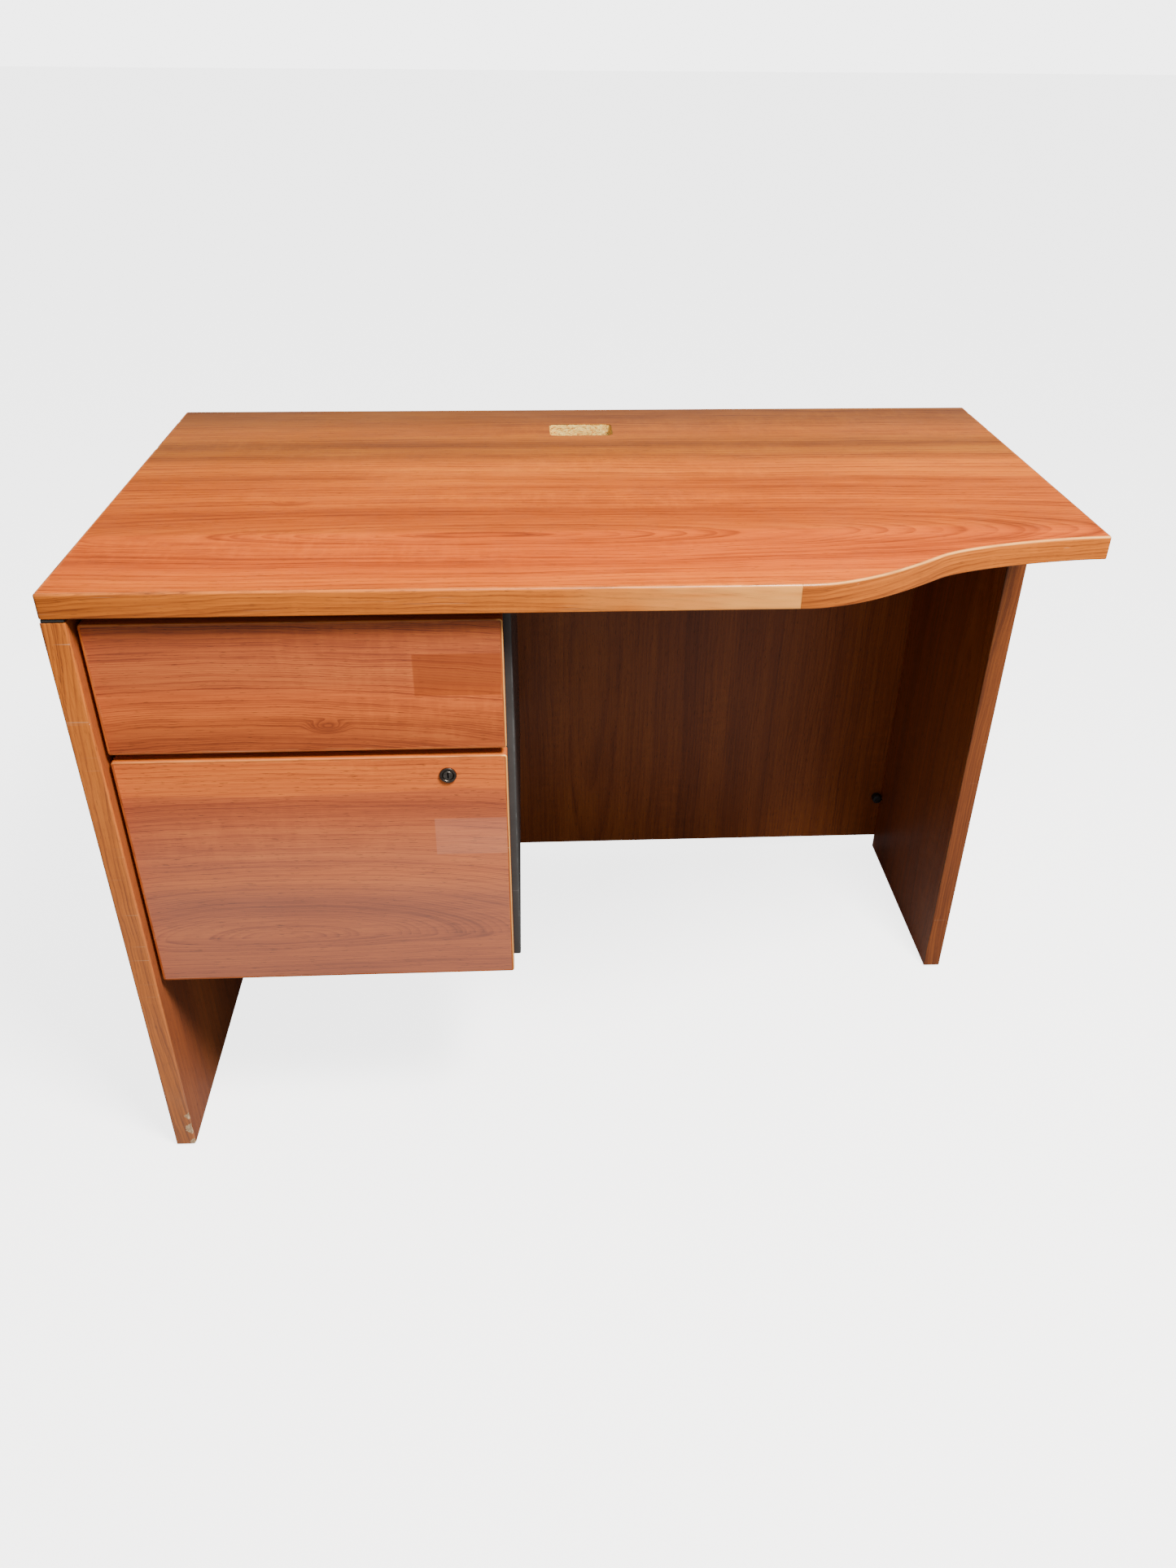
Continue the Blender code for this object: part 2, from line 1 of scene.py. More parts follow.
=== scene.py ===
# %% [markdown]
# # A teacher desk, piece by piece
# The desk is a laminated worktop with an S-shaped front edge, two end panels, a modesty panel and a hung
# steel pedestal with a box drawer and a locking file drawer.
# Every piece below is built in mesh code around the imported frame, so its size and place are the frame's own.
# Lengths are metres, the front faces -Y and the floor is at zero height.

import json
import math

import bmesh
import bpy
from mathutils import Matrix, Vector, noise
from mathutils.geometry import interpolate_bezier, tessellate_polygon

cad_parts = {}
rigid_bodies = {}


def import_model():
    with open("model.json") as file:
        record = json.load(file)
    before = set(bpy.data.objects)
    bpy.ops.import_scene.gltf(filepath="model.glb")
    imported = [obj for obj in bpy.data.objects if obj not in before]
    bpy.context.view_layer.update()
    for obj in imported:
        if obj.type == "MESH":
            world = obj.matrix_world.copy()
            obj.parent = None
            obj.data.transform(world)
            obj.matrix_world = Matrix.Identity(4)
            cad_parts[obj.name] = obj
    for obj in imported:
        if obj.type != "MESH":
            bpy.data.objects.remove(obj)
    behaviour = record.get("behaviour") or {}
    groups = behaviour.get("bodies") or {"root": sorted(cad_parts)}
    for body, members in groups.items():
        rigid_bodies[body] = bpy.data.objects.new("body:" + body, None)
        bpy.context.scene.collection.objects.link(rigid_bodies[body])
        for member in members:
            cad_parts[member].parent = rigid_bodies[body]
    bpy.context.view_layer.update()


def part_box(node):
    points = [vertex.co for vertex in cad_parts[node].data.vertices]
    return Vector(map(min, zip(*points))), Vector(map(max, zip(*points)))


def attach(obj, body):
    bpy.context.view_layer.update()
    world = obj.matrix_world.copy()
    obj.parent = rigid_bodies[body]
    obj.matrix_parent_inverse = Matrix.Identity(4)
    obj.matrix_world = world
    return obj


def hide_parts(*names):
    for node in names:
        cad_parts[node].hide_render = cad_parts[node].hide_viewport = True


for startup_object in list(bpy.data.objects):
    bpy.data.objects.remove(startup_object)
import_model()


def placed(name, data):
    """An object in the scene for a mesh, a curve, a lamp or a camera."""
    made = bpy.data.objects.new(name, data)
    bpy.context.scene.collection.objects.link(made)
    return made


# %% [markdown]
# ## Camera, floor and light
# The desk is seen from a standing height, looking down a little to the left of its middle. A wide lens
# gives the strong perspective of a close view.
# The light is one large soft lamp in front, high and to the right, as open daylight falls on a desk
# that stands outdoors, with a pale surround that fills the shadows.

# %% Camera
CAMERA_PLACE = (-0.0758, -1.3407, 1.1954)
CAMERA_DOWN, CAMERA_TURN, CAMERA_ROLL = 32.70, -3.155, 0.522
LENS, SENSOR_WIDTH = 27.209, 36.0
NEAREST_SEEN = 0.01

camera_data = bpy.data.cameras.new("view")
camera_data.lens = LENS
camera_data.sensor_width = SENSOR_WIDTH
camera_data.clip_start = NEAREST_SEEN
camera = placed("view", camera_data)
camera.matrix_world = (
    Matrix.Translation(CAMERA_PLACE)
    @ Matrix.Rotation(math.radians(CAMERA_TURN), 4, "Z")
    @ Matrix.Rotation(math.radians(90.0 - CAMERA_DOWN), 4, "X")
    @ Matrix.Rotation(math.radians(CAMERA_ROLL), 4, "Z")
)
bpy.context.scene.camera = camera
print("camera at", CAMERA_PLACE)

# %% Lamp and surround
KEY_PLACE = (0.757, -1.18, 2.63)
KEY_TARGET = (0.0, -0.1, 0.60)
KEY_SIZE = 0.7
KEY_POWER = 149.0
KEY_COLOUR = (1.0, 0.955, 0.90)
WHITE = (1.0, 1.0, 1.0, 1.0)
FILL_STRENGTH = 0.42
BACKDROP_STRENGTH = 4.4


def lamp(name, place, target, size, power, colour):
    """A square area lamp that faces its target."""
    data = bpy.data.lights.new(name, "AREA")
    data.size = size
    data.energy = power
    data.color = colour
    lamp_object = placed(name, data)
    lamp_object.location = place
    aim = Vector(target) - Vector(place)
    lamp_object.rotation_euler = aim.to_track_quat("-Z", "Y").to_euler()


lamp("key", KEY_PLACE, KEY_TARGET, KEY_SIZE, KEY_POWER, KEY_COLOUR)
world = bpy.data.worlds.new("surround")
world.use_nodes = True
bpy.context.scene.world = world
surround = world.node_tree.nodes["Background"]
surround.inputs["Strength"].default_value = FILL_STRENGTH
backdrop = world.node_tree.nodes.new("ShaderNodeBackground")
backdrop.inputs["Strength"].default_value = BACKDROP_STRENGTH
for background in (surround, backdrop):
    background.inputs["Color"].default_value = WHITE
seen = world.node_tree.nodes.new("ShaderNodeLightPath").outputs["Is Camera Ray"]
chosen = world.node_tree.nodes.new("ShaderNodeMixShader")
for socket, source in zip(chosen.inputs, (seen, surround.outputs[0], backdrop.outputs[0])):
    world.node_tree.links.new(source, socket)
world.node_tree.links.new(chosen.outputs[0], world.node_tree.nodes["World Output"].inputs["Surface"])
print("key lamp", KEY_POWER, "W over", KEY_SIZE, "m")

# %% [markdown]
# ## Building blocks for shader groups
# A finish is a small web of nodes. These helpers add one node, or one step of arithmetic, and join its
# inputs, so that each finish below reads as a short recipe.


# %% Node helpers
def put(tree, kind, **settings):
    """A node with its properties set."""
    node = tree.nodes.new(kind)
    for key, value in settings.items():
        setattr(node, key, value)
    return node


def feed(tree, socket, source):
    """Joins a socket to another one, or sets it to a plain value."""
    if isinstance(source, bpy.types.NodeSocket):
        tree.links.new(source, socket)
    else:
        socket.default_value = source


def maths(tree, operation, *sources, clamp=False):
    """One step of arithmetic."""
    node = put(tree, "ShaderNodeMath", operation=operation, use_clamp=clamp)
    for socket, source in zip(node.inputs, sources):
        feed(tree, socket, source)
    return node.outputs[0]


def vector_maths(tree, operation, *sources):
    """One step of vector arithmetic, which gives a vector or, for a length or a dot product, a value."""
    node = put(tree, "ShaderNodeVectorMath", operation=operation)
    for socket, source in zip(node.inputs, sources):
        feed(tree, socket, source)
    return node.outputs["Value" if operation in ("LENGTH", "DOT_PRODUCT") else "Vector"]


def centred(tree, value):
    """A noise value moved so that it swings evenly round nothing."""
    return maths(tree, "SUBTRACT", value, 0.5)


def parted(tree, vector):
    """The three values of a vector."""
    node = put(tree, "ShaderNodeSeparateXYZ")
    feed(tree, node.inputs[0], vector)
    return node.outputs


def combined(tree, *values):
    """A vector made from three values."""
    node = put(tree, "ShaderNodeCombineXYZ")
    for socket, value in zip(node.inputs, values):
        feed(tree, socket, value)
    return node.outputs[0]


def span(tree, value, low, high, to_low=0.0, to_high=1.0, smooth=True):
    """Maps a value between two limits onto another range, held at its ends."""
    node = put(tree, "ShaderNodeMapRange", clamp=True)
    node.interpolation_type = "SMOOTHSTEP" if smooth else "LINEAR"
    for socket, source in zip(node.inputs, (value, low, high, to_low, to_high)):
        feed(tree, socket, source)
    return node.outputs[0]


def speckle(tree, vector, scale, detail=2.0, roughness=0.5, offset=0.0):
    """A noise value; the offset moves it to a fresh part of the pattern."""
    node = put(tree, "ShaderNodeTexNoise", noise_dimensions="4D")
    feed(tree, node.inputs["Vector"], vector)
    feed(tree, node.inputs["W"], offset)
    feed(tree, node.inputs["Scale"], scale)
    feed(tree, node.inputs["Detail"], detail)
    feed(tree, node.inputs["Roughness"], roughness)
    return node.outputs["Fac"]


def stretched(tree, vector, along, across, through):
    """The grain vector with each direction scaled by its own count per metre."""
    return vector_maths(tree, "MULTIPLY", vector, (along, across, through))


print("arithmetic helpers ready")


# %% Colours and groups
def blend(tree, factor, first, second, mode="MIX"):
    """Two colours mixed by a factor."""
    node = put(tree, "ShaderNodeMix", data_type="RGBA", blend_type=mode)
    feed(tree, node.inputs[0], factor)
    for socket, source in zip((node.inputs[6], node.inputs[7]), (first, second)):
        feed(tree, socket, (*source, 1.0) if isinstance(source, tuple) and len(source) == 3 else source)
    return node.outputs[2]


def ramp(tree, value, stops):
    """A colour ramp from (position, colour) stops."""
    node = put(tree, "ShaderNodeValToRGB")
    band = node.color_ramp
    band.elements.remove(band.elements[0])
    for i, (position, colour) in enumerate(stops):
        stop = band.elements[0] if i == 0 else band.elements.new(position)
        stop.position = position
        stop.color = (*colour, 1.0)
    feed(tree, node.inputs[0], value)
    return node.outputs[0]


def new_group(name, inputs, outputs):
    """An empty shader group with named sockets: a default that is a tuple makes a vector."""
    tree = bpy.data.node_groups.new(name, "ShaderNodeTree")
    for label, default in inputs.items():
        kind = "NodeSocketVector" if isinstance(default, tuple) else "NodeSocketFloat"
        socket = tree.interface.new_socket(label, in_out="INPUT", socket_type=kind)
        socket.default_value = default
    for label in outputs:
        tree.interface.new_socket(label, in_out="OUTPUT", socket_type="NodeSocketFloat")
    return tree, put(tree, "NodeGroupInput").outputs, put(tree, "NodeGroupOutput").inputs


def use(tree, group, **values):
    """A group placed in a material; underscores in a value's name stand for spaces."""
    node = put(tree, "ShaderNodeGroup", node_tree=group)
    for label, value in values.items():
        feed(tree, node.inputs[label.replace("_", " ")], value)
    return node.outputs


print("node helpers ready")

# %% [markdown]
# ## Printed cherry grain
# The desk is not solid wood: a paper printed with cherry grain lies under clear resin. A print is taken
# from a flat-sawn board, so it shows the tree's growth rings cut lengthwise. Rings are shells round the
# heart of the log, and a plane through them gives long arches. That is how the group works: it bends
# space a little, measures the distance from the heart, and draws every ring, tone and streak from it.
# Vector runs along, across and through the board, in metres.


# %% The grain group
RIPPLE, TREMBLE = 0.008, 0.0016
KNOT_SIZE = 0.013
EXTRA_STRETCH = 8.0
FINE_RING = 0.37


def build_grain_group():
    tree, given, result = new_group(
        "cherry_grain",
        {
            "Vector": (0.0, 0.0, 0.0),
            "Heart": (0.0, 0.0, 0.0),
            "Knot": (9.0, 9.0, 9.0),
            "Stretch": 8.0,
            "Straighten Below": 0.0,
            "Ring Width": 0.006,
            "Band Width": 0.03,
            "Sway": 0.02,
            "Seed": 0.0,
        },
        ("Tone", "Rings", "Fibre", "Pores", "Figure"),
    )
    seed = given["Seed"]

    def seeded(offset):
        return maths(tree, "ADD", seed, offset)

    # Space is bent a little across the grain: a slow sway, a ripple, a tremble and a bulge at the knot.
    place = vector_maths(tree, "SUBTRACT", given["Vector"], given["Heart"])
    slow = speckle(tree, stretched(tree, place, 1.6, 6.0, 6.0), 1.0, 2.0, 0.5, seed)
    ripple = speckle(tree, stretched(tree, place, 11.0, 26.0, 26.0), 1.0, 2.0, 0.5, seeded(1.0))
    tremble = speckle(tree, stretched(tree, place, 60.0, 110.0, 110.0), 1.0, 2.0, 0.6, seeded(2.0))
    shift = maths(tree, "MULTIPLY", centred(tree, slow), given["Sway"])
    shift = maths(tree, "MULTIPLY_ADD", centred(tree, ripple), RIPPLE, shift)
    shift = maths(tree, "MULTIPLY_ADD", centred(tree, tremble), TREMBLE, shift)
    from_knot = vector_maths(tree, "SUBTRACT", given["Vector"], given["Knot"])
    from_knot = vector_maths(tree, "LENGTH", stretched(tree, from_knot, 0.45, 1.0, 0.4))
    knot = span(tree, from_knot, 0.0, KNOT_SIZE, 1.0, 0.0)
    shift = maths(tree, "MULTIPLY_ADD", knot, KNOT_SIZE, shift)

    # The distance from the heart, squashed along the grain, is what every ring is drawn from.
    along, across, through = parted(tree, place)
    below = maths(tree, "LESS_THAN", across, 0.0)
    straighter = maths(tree, "MULTIPLY", below, given["Straighten Below"])
    stretch = maths(tree, "MULTIPLY_ADD", straighter, EXTRA_STRETCH, given["Stretch"])
    squashed = maths(tree, "DIVIDE", along, stretch)
    moved = maths(tree, "ADD", across, shift)
    distance = vector_maths(tree, "LENGTH", combined(tree, squashed, moved, through))

    def ring_noise(width, detail, roughness, offset):
        node = put(tree, "ShaderNodeTexNoise", noise_dimensions="1D")
        feed(tree, node.inputs["W"], maths(tree, "ADD", maths(tree, "DIVIDE", distance, width), offset))
        feed(tree, node.inputs["Scale"], 1.0)
        feed(tree, node.inputs["Detail"], detail)
        feed(tree, node.inputs["Roughness"], roughness)
        return node.outputs["Fac"]

    # The tone: broad bands that follow the rings, long streaks and soft clouds, darker at the knot.
    band = ring_noise(given["Band Width"], 3.0, 0.6, seed)
    streak = speckle(tree, stretched(tree, place, 1.1, 30.0, 30.0), 1.0, 4.0, 0.62, seeded(7.0))
    cloud = speckle(tree, stretched(tree, place, 2.6, 9.0, 9.0), 1.0, 2.0, 0.5, seeded(11.0))
    tone = maths(tree, "MULTIPLY_ADD", centred(tree, band), 0.60, 0.5)
    tone = maths(tree, "MULTIPLY_ADD", centred(tree, streak), 0.60, tone)
    tone = maths(tree, "MULTIPLY_ADD", centred(tree, cloud), 0.50, tone)
    tone = maths(tree, "MULTIPLY_ADD", knot, -0.30, tone, clamp=True)
    feed(tree, result["Tone"], tone)

    # A ring darkens slowly towards its late wood and ends sharply, and no two rings are equally strong.
    def ring_lines(width, sharpness, rings_together, offset):
        phase = maths(tree, "FRACT", maths(tree, "DIVIDE", distance, width))
        late = maths(tree, "POWER", phase, sharpness)
        line = maths(tree, "MULTIPLY", late, span(tree, phase, 0.90, 1.0, 1.0, 0.0))
        strength = ring_noise(maths(tree, "MULTIPLY", width, rings_together), 0.0, 0.5, offset)
        return maths(tree, "MULTIPLY", line, span(tree, strength, 0.30, 0.58))

    wide = ring_lines(given["Ring Width"], 4.5, 2.3, 31.0)
    fine = ring_lines(maths(tree, "MULTIPLY", given["Ring Width"], FINE_RING), 2.5, 5.0, 53.0)
    broken = speckle(tree, stretched(tree, place, 9.0, 60.0, 60.0), 1.0, 3.0, 0.6, seeded(9.0))
    broken = span(tree, broken, 0.36, 0.62)
    ring = maths(tree, "MULTIPLY_ADD", fine, 0.75, wide)
    ring = maths(tree, "MULTIPLY", ring, maths(tree, "MULTIPLY_ADD", broken, 0.55, 0.45))
    feed(tree, result["Rings"], ring)

    # Fibres are hair-thin streaks; pores are short dark dashes that crowd where a ring is dark.
    fibre = speckle(tree, stretched(tree, place, 16.0, 520.0, 520.0), 1.0, 4.0, 0.68, seed)
    feed(tree, result["Fibre"], span(tree, fibre, 0.25, 0.75))
    dash = speckle(tree, stretched(tree, place, 85.0, 1100.0, 1100.0), 1.0, 1.0, 0.5, seed)
    crowd = maths(tree, "MULTIPLY_ADD", ring, -0.07, 0.645)
    feed(tree, result["Pores"], span(tree, dash, crowd, maths(tree, "ADD", crowd, 0.07)))

    # The figure is a faint cross ripple in a few places.
    curl = speckle(tree, stretched(tree, place, 95.0, 34.0, 34.0), 1.0, 2.0, 0.55, seeded(3.0))
    where = speckle(tree, stretched(tree, place, 3.0, 11.0, 11.0), 1.0, 1.0, 0.5, seeded(5.0))
    figure = maths(tree, "MULTIPLY", span(tree, curl, 0.40, 0.68), span(tree, where, 0.45, 0.68))
    feed(tree, result["Figure"], figure)
    return tree


cherry_grain = build_grain_group()
print("cherry_grain sockets", [item.name for item in cherry_grain.interface.items_tree])

# %% [markdown]
# ## Wear, dust and scuffs
# A school desk is bumped by chairs and wiped every day. Three more groups are shared by all finishes.
# Edge wear finds how far a point is from the piece's nearest edge, from the piece's own box.
# Scuffs are thin pale scratches in three loose directions, with soft smudges that dull the shine. Dust
# lies on faces that look up.


# %% The wear groups
SCRATCH_TURNS = ((0.35, 1.0), (-0.8, 9.0), (1.9, 17.0))
SCRATCH_SCALE = (6.0, 420.0, 420.0)


def build_edge_group():
    tree, given, result = new_group(
        "edge_wear",
        {
            "Vector": (0.0, 0.0, 0.0),
            "Low": (0.0, 0.0, 0.0),
            "High": (1.0, 1.0, 1.0),
            "Width": 0.004,
            "Patchiness": 60.0,
        },
        ("Edge", "Worn"),
    )
    nearest = vector_maths(
        tree,
        "MINIMUM",
        vector_maths(tree, "SUBTRACT", given["Vector"], given["Low"]),
        vector_maths(tree, "SUBTRACT", given["High"], given["Vector"]),
    )
    x, y, z = parted(tree, nearest)
    # On an edge two of the three gaps are nothing, so the middle one of the three is the distance to it.
    middle = maths(
        tree,
        "MAXIMUM",
        maths(tree, "MINIMUM", x, y),
        maths(tree, "MINIMUM", maths(tree, "MAXIMUM", x, y), z),
    )
    edge = span(tree, middle, 0.0, given["Width"], 1.0, 0.0)
    feed(tree, result["Edge"], edge)
    patch = speckle(tree, given["Vector"], given["Patchiness"], 4.0, 0.65, 2.0)
    feed(tree, result["Worn"], maths(tree, "MULTIPLY", edge, span(tree, patch, 0.46, 0.62)))
    return tree


def build_scuff_group():
    inputs = {"Vector": (0.0, 0.0, 0.0), "Amount": 0.5}
    tree, given, result = new_group("scuffs", inputs, ("Lines", "Smudge"))
    found = None
    for angle, offset in SCRATCH_TURNS:
        turn = put(tree, "ShaderNodeMapping")
        feed(tree, turn.inputs["Vector"], given["Vector"])
        turn.inputs["Rotation"].default_value = (angle, angle * 1.7, angle)
        turn.inputs["Scale"].default_value = SCRATCH_SCALE
        line = span(tree, speckle(tree, turn.outputs[0], 1.0, 1.0, 0.5, offset), 0.70, 0.745)
        gate = span(tree, speckle(tree, given["Vector"], 9.0, 2.0, 0.5, offset), 0.52, 0.66)
        line = maths(tree, "MULTIPLY", line, gate)
        found = line if found is None else maths(tree, "MAXIMUM", found, line)
    feed(tree, result["Lines"], maths(tree, "MULTIPLY", found, given["Amount"]))
    cloud = speckle(tree, given["Vector"], 5.0, 5.0, 0.6, 4.0)
    feed(tree, result["Smudge"], maths(tree, "MULTIPLY", span(tree, cloud, 0.40, 0.70), given["Amount"]))
    return tree


def build_dust_group():
    tree, given, result = new_group("dust", {"Vector": (0.0, 0.0, 0.0), "Amount": 0.3}, ("Mask",))
    normal = put(tree, "ShaderNodeNewGeometry").outputs["Normal"]
    up = vector_maths(tree, "DOT_PRODUCT", normal, (0.0, 0.0, 1.0))
    film = speckle(tree, given["Vector"], 38.0, 6.0, 0.7, 1.0)
    mask = maths(tree, "MULTIPLY", span(tree, up, 0.35, 0.95), span(tree, film, 0.40, 0.75))
    feed(tree, result["Mask"], maths(tree, "MULTIPLY", mask, given["Amount"]))
    return tree


edge_wear = build_edge_group()
scuffs = build_scuff_group()
dust = build_dust_group()
print("shared groups", [group.name for group in bpy.data.node_groups])

# %% [markdown]
# ## Finishes
# Each finish is one material. Laminate is smooth resin over print, with pores pressed into it.
# The print's colour comes from a ramp between reddish brown and honey, shifted by rings and fibres.
# A single ramp would look too even, so three more things may be laid over it. Staves are broad tints
# side by side across the grain, as if the print showed several planks. The sheen is a painted reflection:
# a pale film that thickens in one direction, where the resin would mirror pale ground or sky. A patch is
# a small rectangle with a colour of its own.


# %% Helpers that every finish uses
def material(name):
    """An empty material with its surface shader, and the coordinates of the piece."""
    made = bpy.data.materials.new(name)
    made.use_nodes = True
    tree = made.node_tree
    shader = tree.nodes["Principled BSDF"]
    place = put(tree, "ShaderNodeTexCoord").outputs["Object"]
    return made, tree, shader.inputs, place


def attribute(tree, name, output="Fac"):
    """A value that the mesh stores at its points."""
    return put(tree, "ShaderNodeAttribute", attribute_name=name).outputs[output]


def axes(tree, place, order):
    """The place with its directions renamed to along, across and through the grain."""
    parts = parted(tree, place)
    return combined(tree, *(parts["XYZ".index(axis)] for axis in order))


def bump(tree, height, strength, distance):
    """A surface normal that follows a height."""
    node = put(tree, "ShaderNodeBump")
    feed(tree, node.inputs["Height"], height)
    node.inputs["Strength"].default_value = strength
    node.inputs["Distance"].default_value = distance
    return node.outputs[0]


def edge_mask(tree, place, width, patchiness):
    """Where a piece's own edges are rubbed, from the box that each of its points stores."""
    low, high = (attribute(tree, label, "Vector") for label in ("box_low", "box_high"))
    return use(tree, edge_wear, Vector=place, Low=low, High=high, Width=width, Patchiness=patchiness)["Worn"]


print("finish helpers ready")

# %% Laminate
PORE_COLOUR = (0.10, 0.03, 0.012)
WORN_PRINT = (0.84, 0.34, 0.12)
# The pale colour of the painted sheen, a painted reflection of pale ground and sky.
PAINTED_SHEEN = (0.66, 0.50, 0.46)
SETTLED_DUST = (0.50, 0.34, 0.24)
STAVE_WANDER = 0.016


def print_colour(tree, grain, stops, rings=0.34, fibre=0.28, figure=0.09):
    """The printed colour from the grain group's outputs."""
    value = maths(tree, "MULTIPLY_ADD", grain["Rings"], -rings, grain["Tone"])
    value = maths(tree, "MULTIPLY_ADD", centred(tree, grain["Fibre"]), fibre, value)
    value = maths(tree, "MULTIPLY_ADD", grain["Figure"], figure, value, clamp=True)
    colour = ramp(tree, value, stops)
    return blend(tree, maths(tree, "MULTIPLY", grain["Pores"], 0.55), colour, PORE_COLOUR)


def staved(tree, colour, across, low, high, zones):
    """The broad staves of the print: tints that follow one another across the grain."""
    share = span(tree, across, low, high, smooth=False)
    return blend(tree, 1.0, colour, ramp(tree, share, zones), "MULTIPLY")


def inside(tree, place, first, second, low, high, soft):
    """A mask for a rectangle in two directions of the piece, with soft sides."""
    parts = parted(tree, place)
    mask = 1.0
    for axis, start, end in ((first, low[0], high[0]), (second, low[1], high[1])):
        value = parts["XYZ".index(axis)]
        mask = maths(tree, "MULTIPLY", mask, span(tree, value, start, start + soft))
        mask = maths(tree, "MULTIPLY", mask, span(tree, value, end - soft, end, 1.0, 0.0))
    return mask


def laminate(
    name, order, stops, grain_values, roughness=0.36, scuff=0.35, staves=None, sheen=None, patch=None,
    shine=0.26, **tones,
):
    """A printed laminate whose grain runs in the first direction of the order.

    Staves are (low, high, tints) across the grain, sheen is a painted reflection given as (direction,
    where it starts, where it is full, amount), and a patch is (rectangle, colour, amount).
    """
    made, tree, sockets, place = material(name)
    vector = axes(tree, place, order)
    grain = use(tree, cherry_grain, Vector=vector, **grain_values)
    colour = print_colour(tree, grain, stops, **tones)
    parts = parted(tree, vector)
    if staves:
        ragged = speckle(tree, stretched(tree, vector, 5.0, 60.0, 60.0), 1.0, 3.0, 0.6, 21.0)
        across = maths(tree, "MULTIPLY_ADD", centred(tree, ragged), STAVE_WANDER, parts[1])
        colour = staved(tree, colour, across, *staves)
    marks = use(tree, scuffs, Vector=place, Amount=scuff)
    # Painted reflection: a pale film laid into the colour, thinner where the resin is smudged.
    if sheen:
        axis, low, high, amount = sheen
        film = span(tree, parts[axis], low, high, 0.0, amount)
        film = maths(tree, "MULTIPLY", film, span(tree, marks["Smudge"], 0.0, 1.0, 1.0, 0.75))
        colour = blend(tree, film, colour, PAINTED_SHEEN)
    if patch:
        box, paint, amount = patch
        fibrous = span(tree, grain["Fibre"], 0.0, 1.0, 0.75, 1.0)
        mask = maths(tree, "MULTIPLY", inside(tree, place, *box), fibrous)
        colour = blend(tree, maths(tree, "MULTIPLY", mask, amount), colour, paint)
    worn = edge_mask(tree, place, 0.0022, 45.0)
    colour = blend(tree, maths(tree, "MULTIPLY", worn, 0.20), colour, WORN_PRINT)
    colour = blend(tree, maths(tree, "MULTIPLY", marks["Lines"], 0.16), colour, WORN_PRINT)
    settled = use(tree, dust, Vector=place, Amount=0.02)["Mask"]
    colour = blend(tree, settled, colour, SETTLED_DUST)
    feed(tree, sockets["Base Color"], colour)
    rough = maths(tree, "MULTIPLY_ADD", marks["Smudge"], 0.22, roughness)
    rough = maths(tree, "MULTIPLY_ADD", grain["Pores"], 0.12, rough)
    feed(tree, sockets["Roughness"], rough)
    suede = speckle(tree, place, 900.0, 2.0, 0.5, 0.0)
    height = maths(tree, "MULTIPLY_ADD", grain["Pores"], -0.7, maths(tree, "MULTIPLY", suede, 0.35))
    feed(tree, sockets["Normal"], bump(tree, height, 0.35, 0.0002))
    sockets["Specular IOR Level"].default_value = shine
    return made


print("laminate ready")

# %% [markdown]
# ## The prints
# The worktop is the reddest, with planks that darken towards the rear and a long set of arches at the
# front. Both drawer fronts are cut from one sheet of a browner print, with wide arches, and each has a
# faint rectangle at its right where tape lay. The panels are the same print, darkened as painted shade.

# %% The worktop's print
TOP_STOPS = (
    (0.00, (0.260, 0.036, 0.0006)),
    (0.28, (0.430, 0.066, 0.0008)),
    (0.50, (0.600, 0.102, 0.0010)),
    (0.72, (0.730, 0.142, 0.0012)),
    (1.00, (0.840, 0.200, 0.0030)),
)
TOP_STAVES = (
    (0.00, (1.00, 1.10, 1.00)),
    (0.10, (1.00, 0.96, 1.00)),
    (0.235, (1.00, 1.00, 1.00)),
    (0.25, (0.80, 0.86, 1.00)),
    (0.36, (0.82, 0.90, 1.00)),
    (0.39, (0.92, 1.04, 1.00)),
    (0.50, (0.88, 1.02, 1.00)),
    (0.52, (0.98, 1.22, 1.00)),
    (0.61, (0.98, 1.26, 1.00)),
    (0.66, (0.62, 0.86, 1.20)),
    (0.74, (0.50, 0.76, 1.30)),
    (0.81, (0.72, 1.02, 1.60)),
    (0.85, (0.66, 0.94, 1.60)),
    (0.92, (0.44, 0.68, 1.40)),
    (1.00, (0.38, 0.62, 1.40)),
)
top_laminate = laminate(
    "cherry_top",
    "XYZ",
    TOP_STOPS,
    dict(
        Heart=(-0.13, -0.165, 0.735), Knot=(-0.335, -0.064, 0.749), Stretch=9.0,
        Ring_Width=0.0085, Band_Width=0.050, Sway=0.048, Seed=2.0,
    ),
    staves=(-0.305, 0.305, TOP_STAVES),
    sheen=(1, -0.02, 0.30, 0.03),
    shine=0.10,
    rings=0.62,
)
print("worktop print", len(TOP_STAVES), "tints across it")

# %% The drawer fronts' prints
FRONT_STOPS = (
    (0.00, (0.340, 0.068, 0.022)),
    (0.35, (0.560, 0.115, 0.028)),
    (0.55, (0.710, 0.156, 0.034)),
    (0.80, (0.860, 0.210, 0.042)),
    (1.00, (0.940, 0.270, 0.060)),
)
UPPER_STAVES = (
    (0.00, (0.80, 0.82, 0.90)),
    (0.10, (0.92, 0.94, 0.90)),
    (0.16, (1.12, 1.14, 1.00)),
    (0.30, (1.10, 1.08, 1.00)),
    (0.40, (0.84, 0.86, 1.00)),
    (0.75, (0.82, 0.84, 1.00)),
    (1.00, (0.74, 0.76, 1.00)),
)
LOWER_STAVES = (
    (0.00, (0.84, 0.92, 1.10)),
    (0.36, (0.84, 0.94, 1.10)),
    (0.43, (0.98, 1.06, 1.00)),
    (0.47, (1.00, 1.06, 1.00)),
    (0.50, (0.90, 0.96, 1.10)),
    (0.775, (0.90, 0.90, 1.10)),
    (0.785, (1.22, 1.24, 1.00)),
    (1.00, (1.20, 1.22, 1.00)),
)
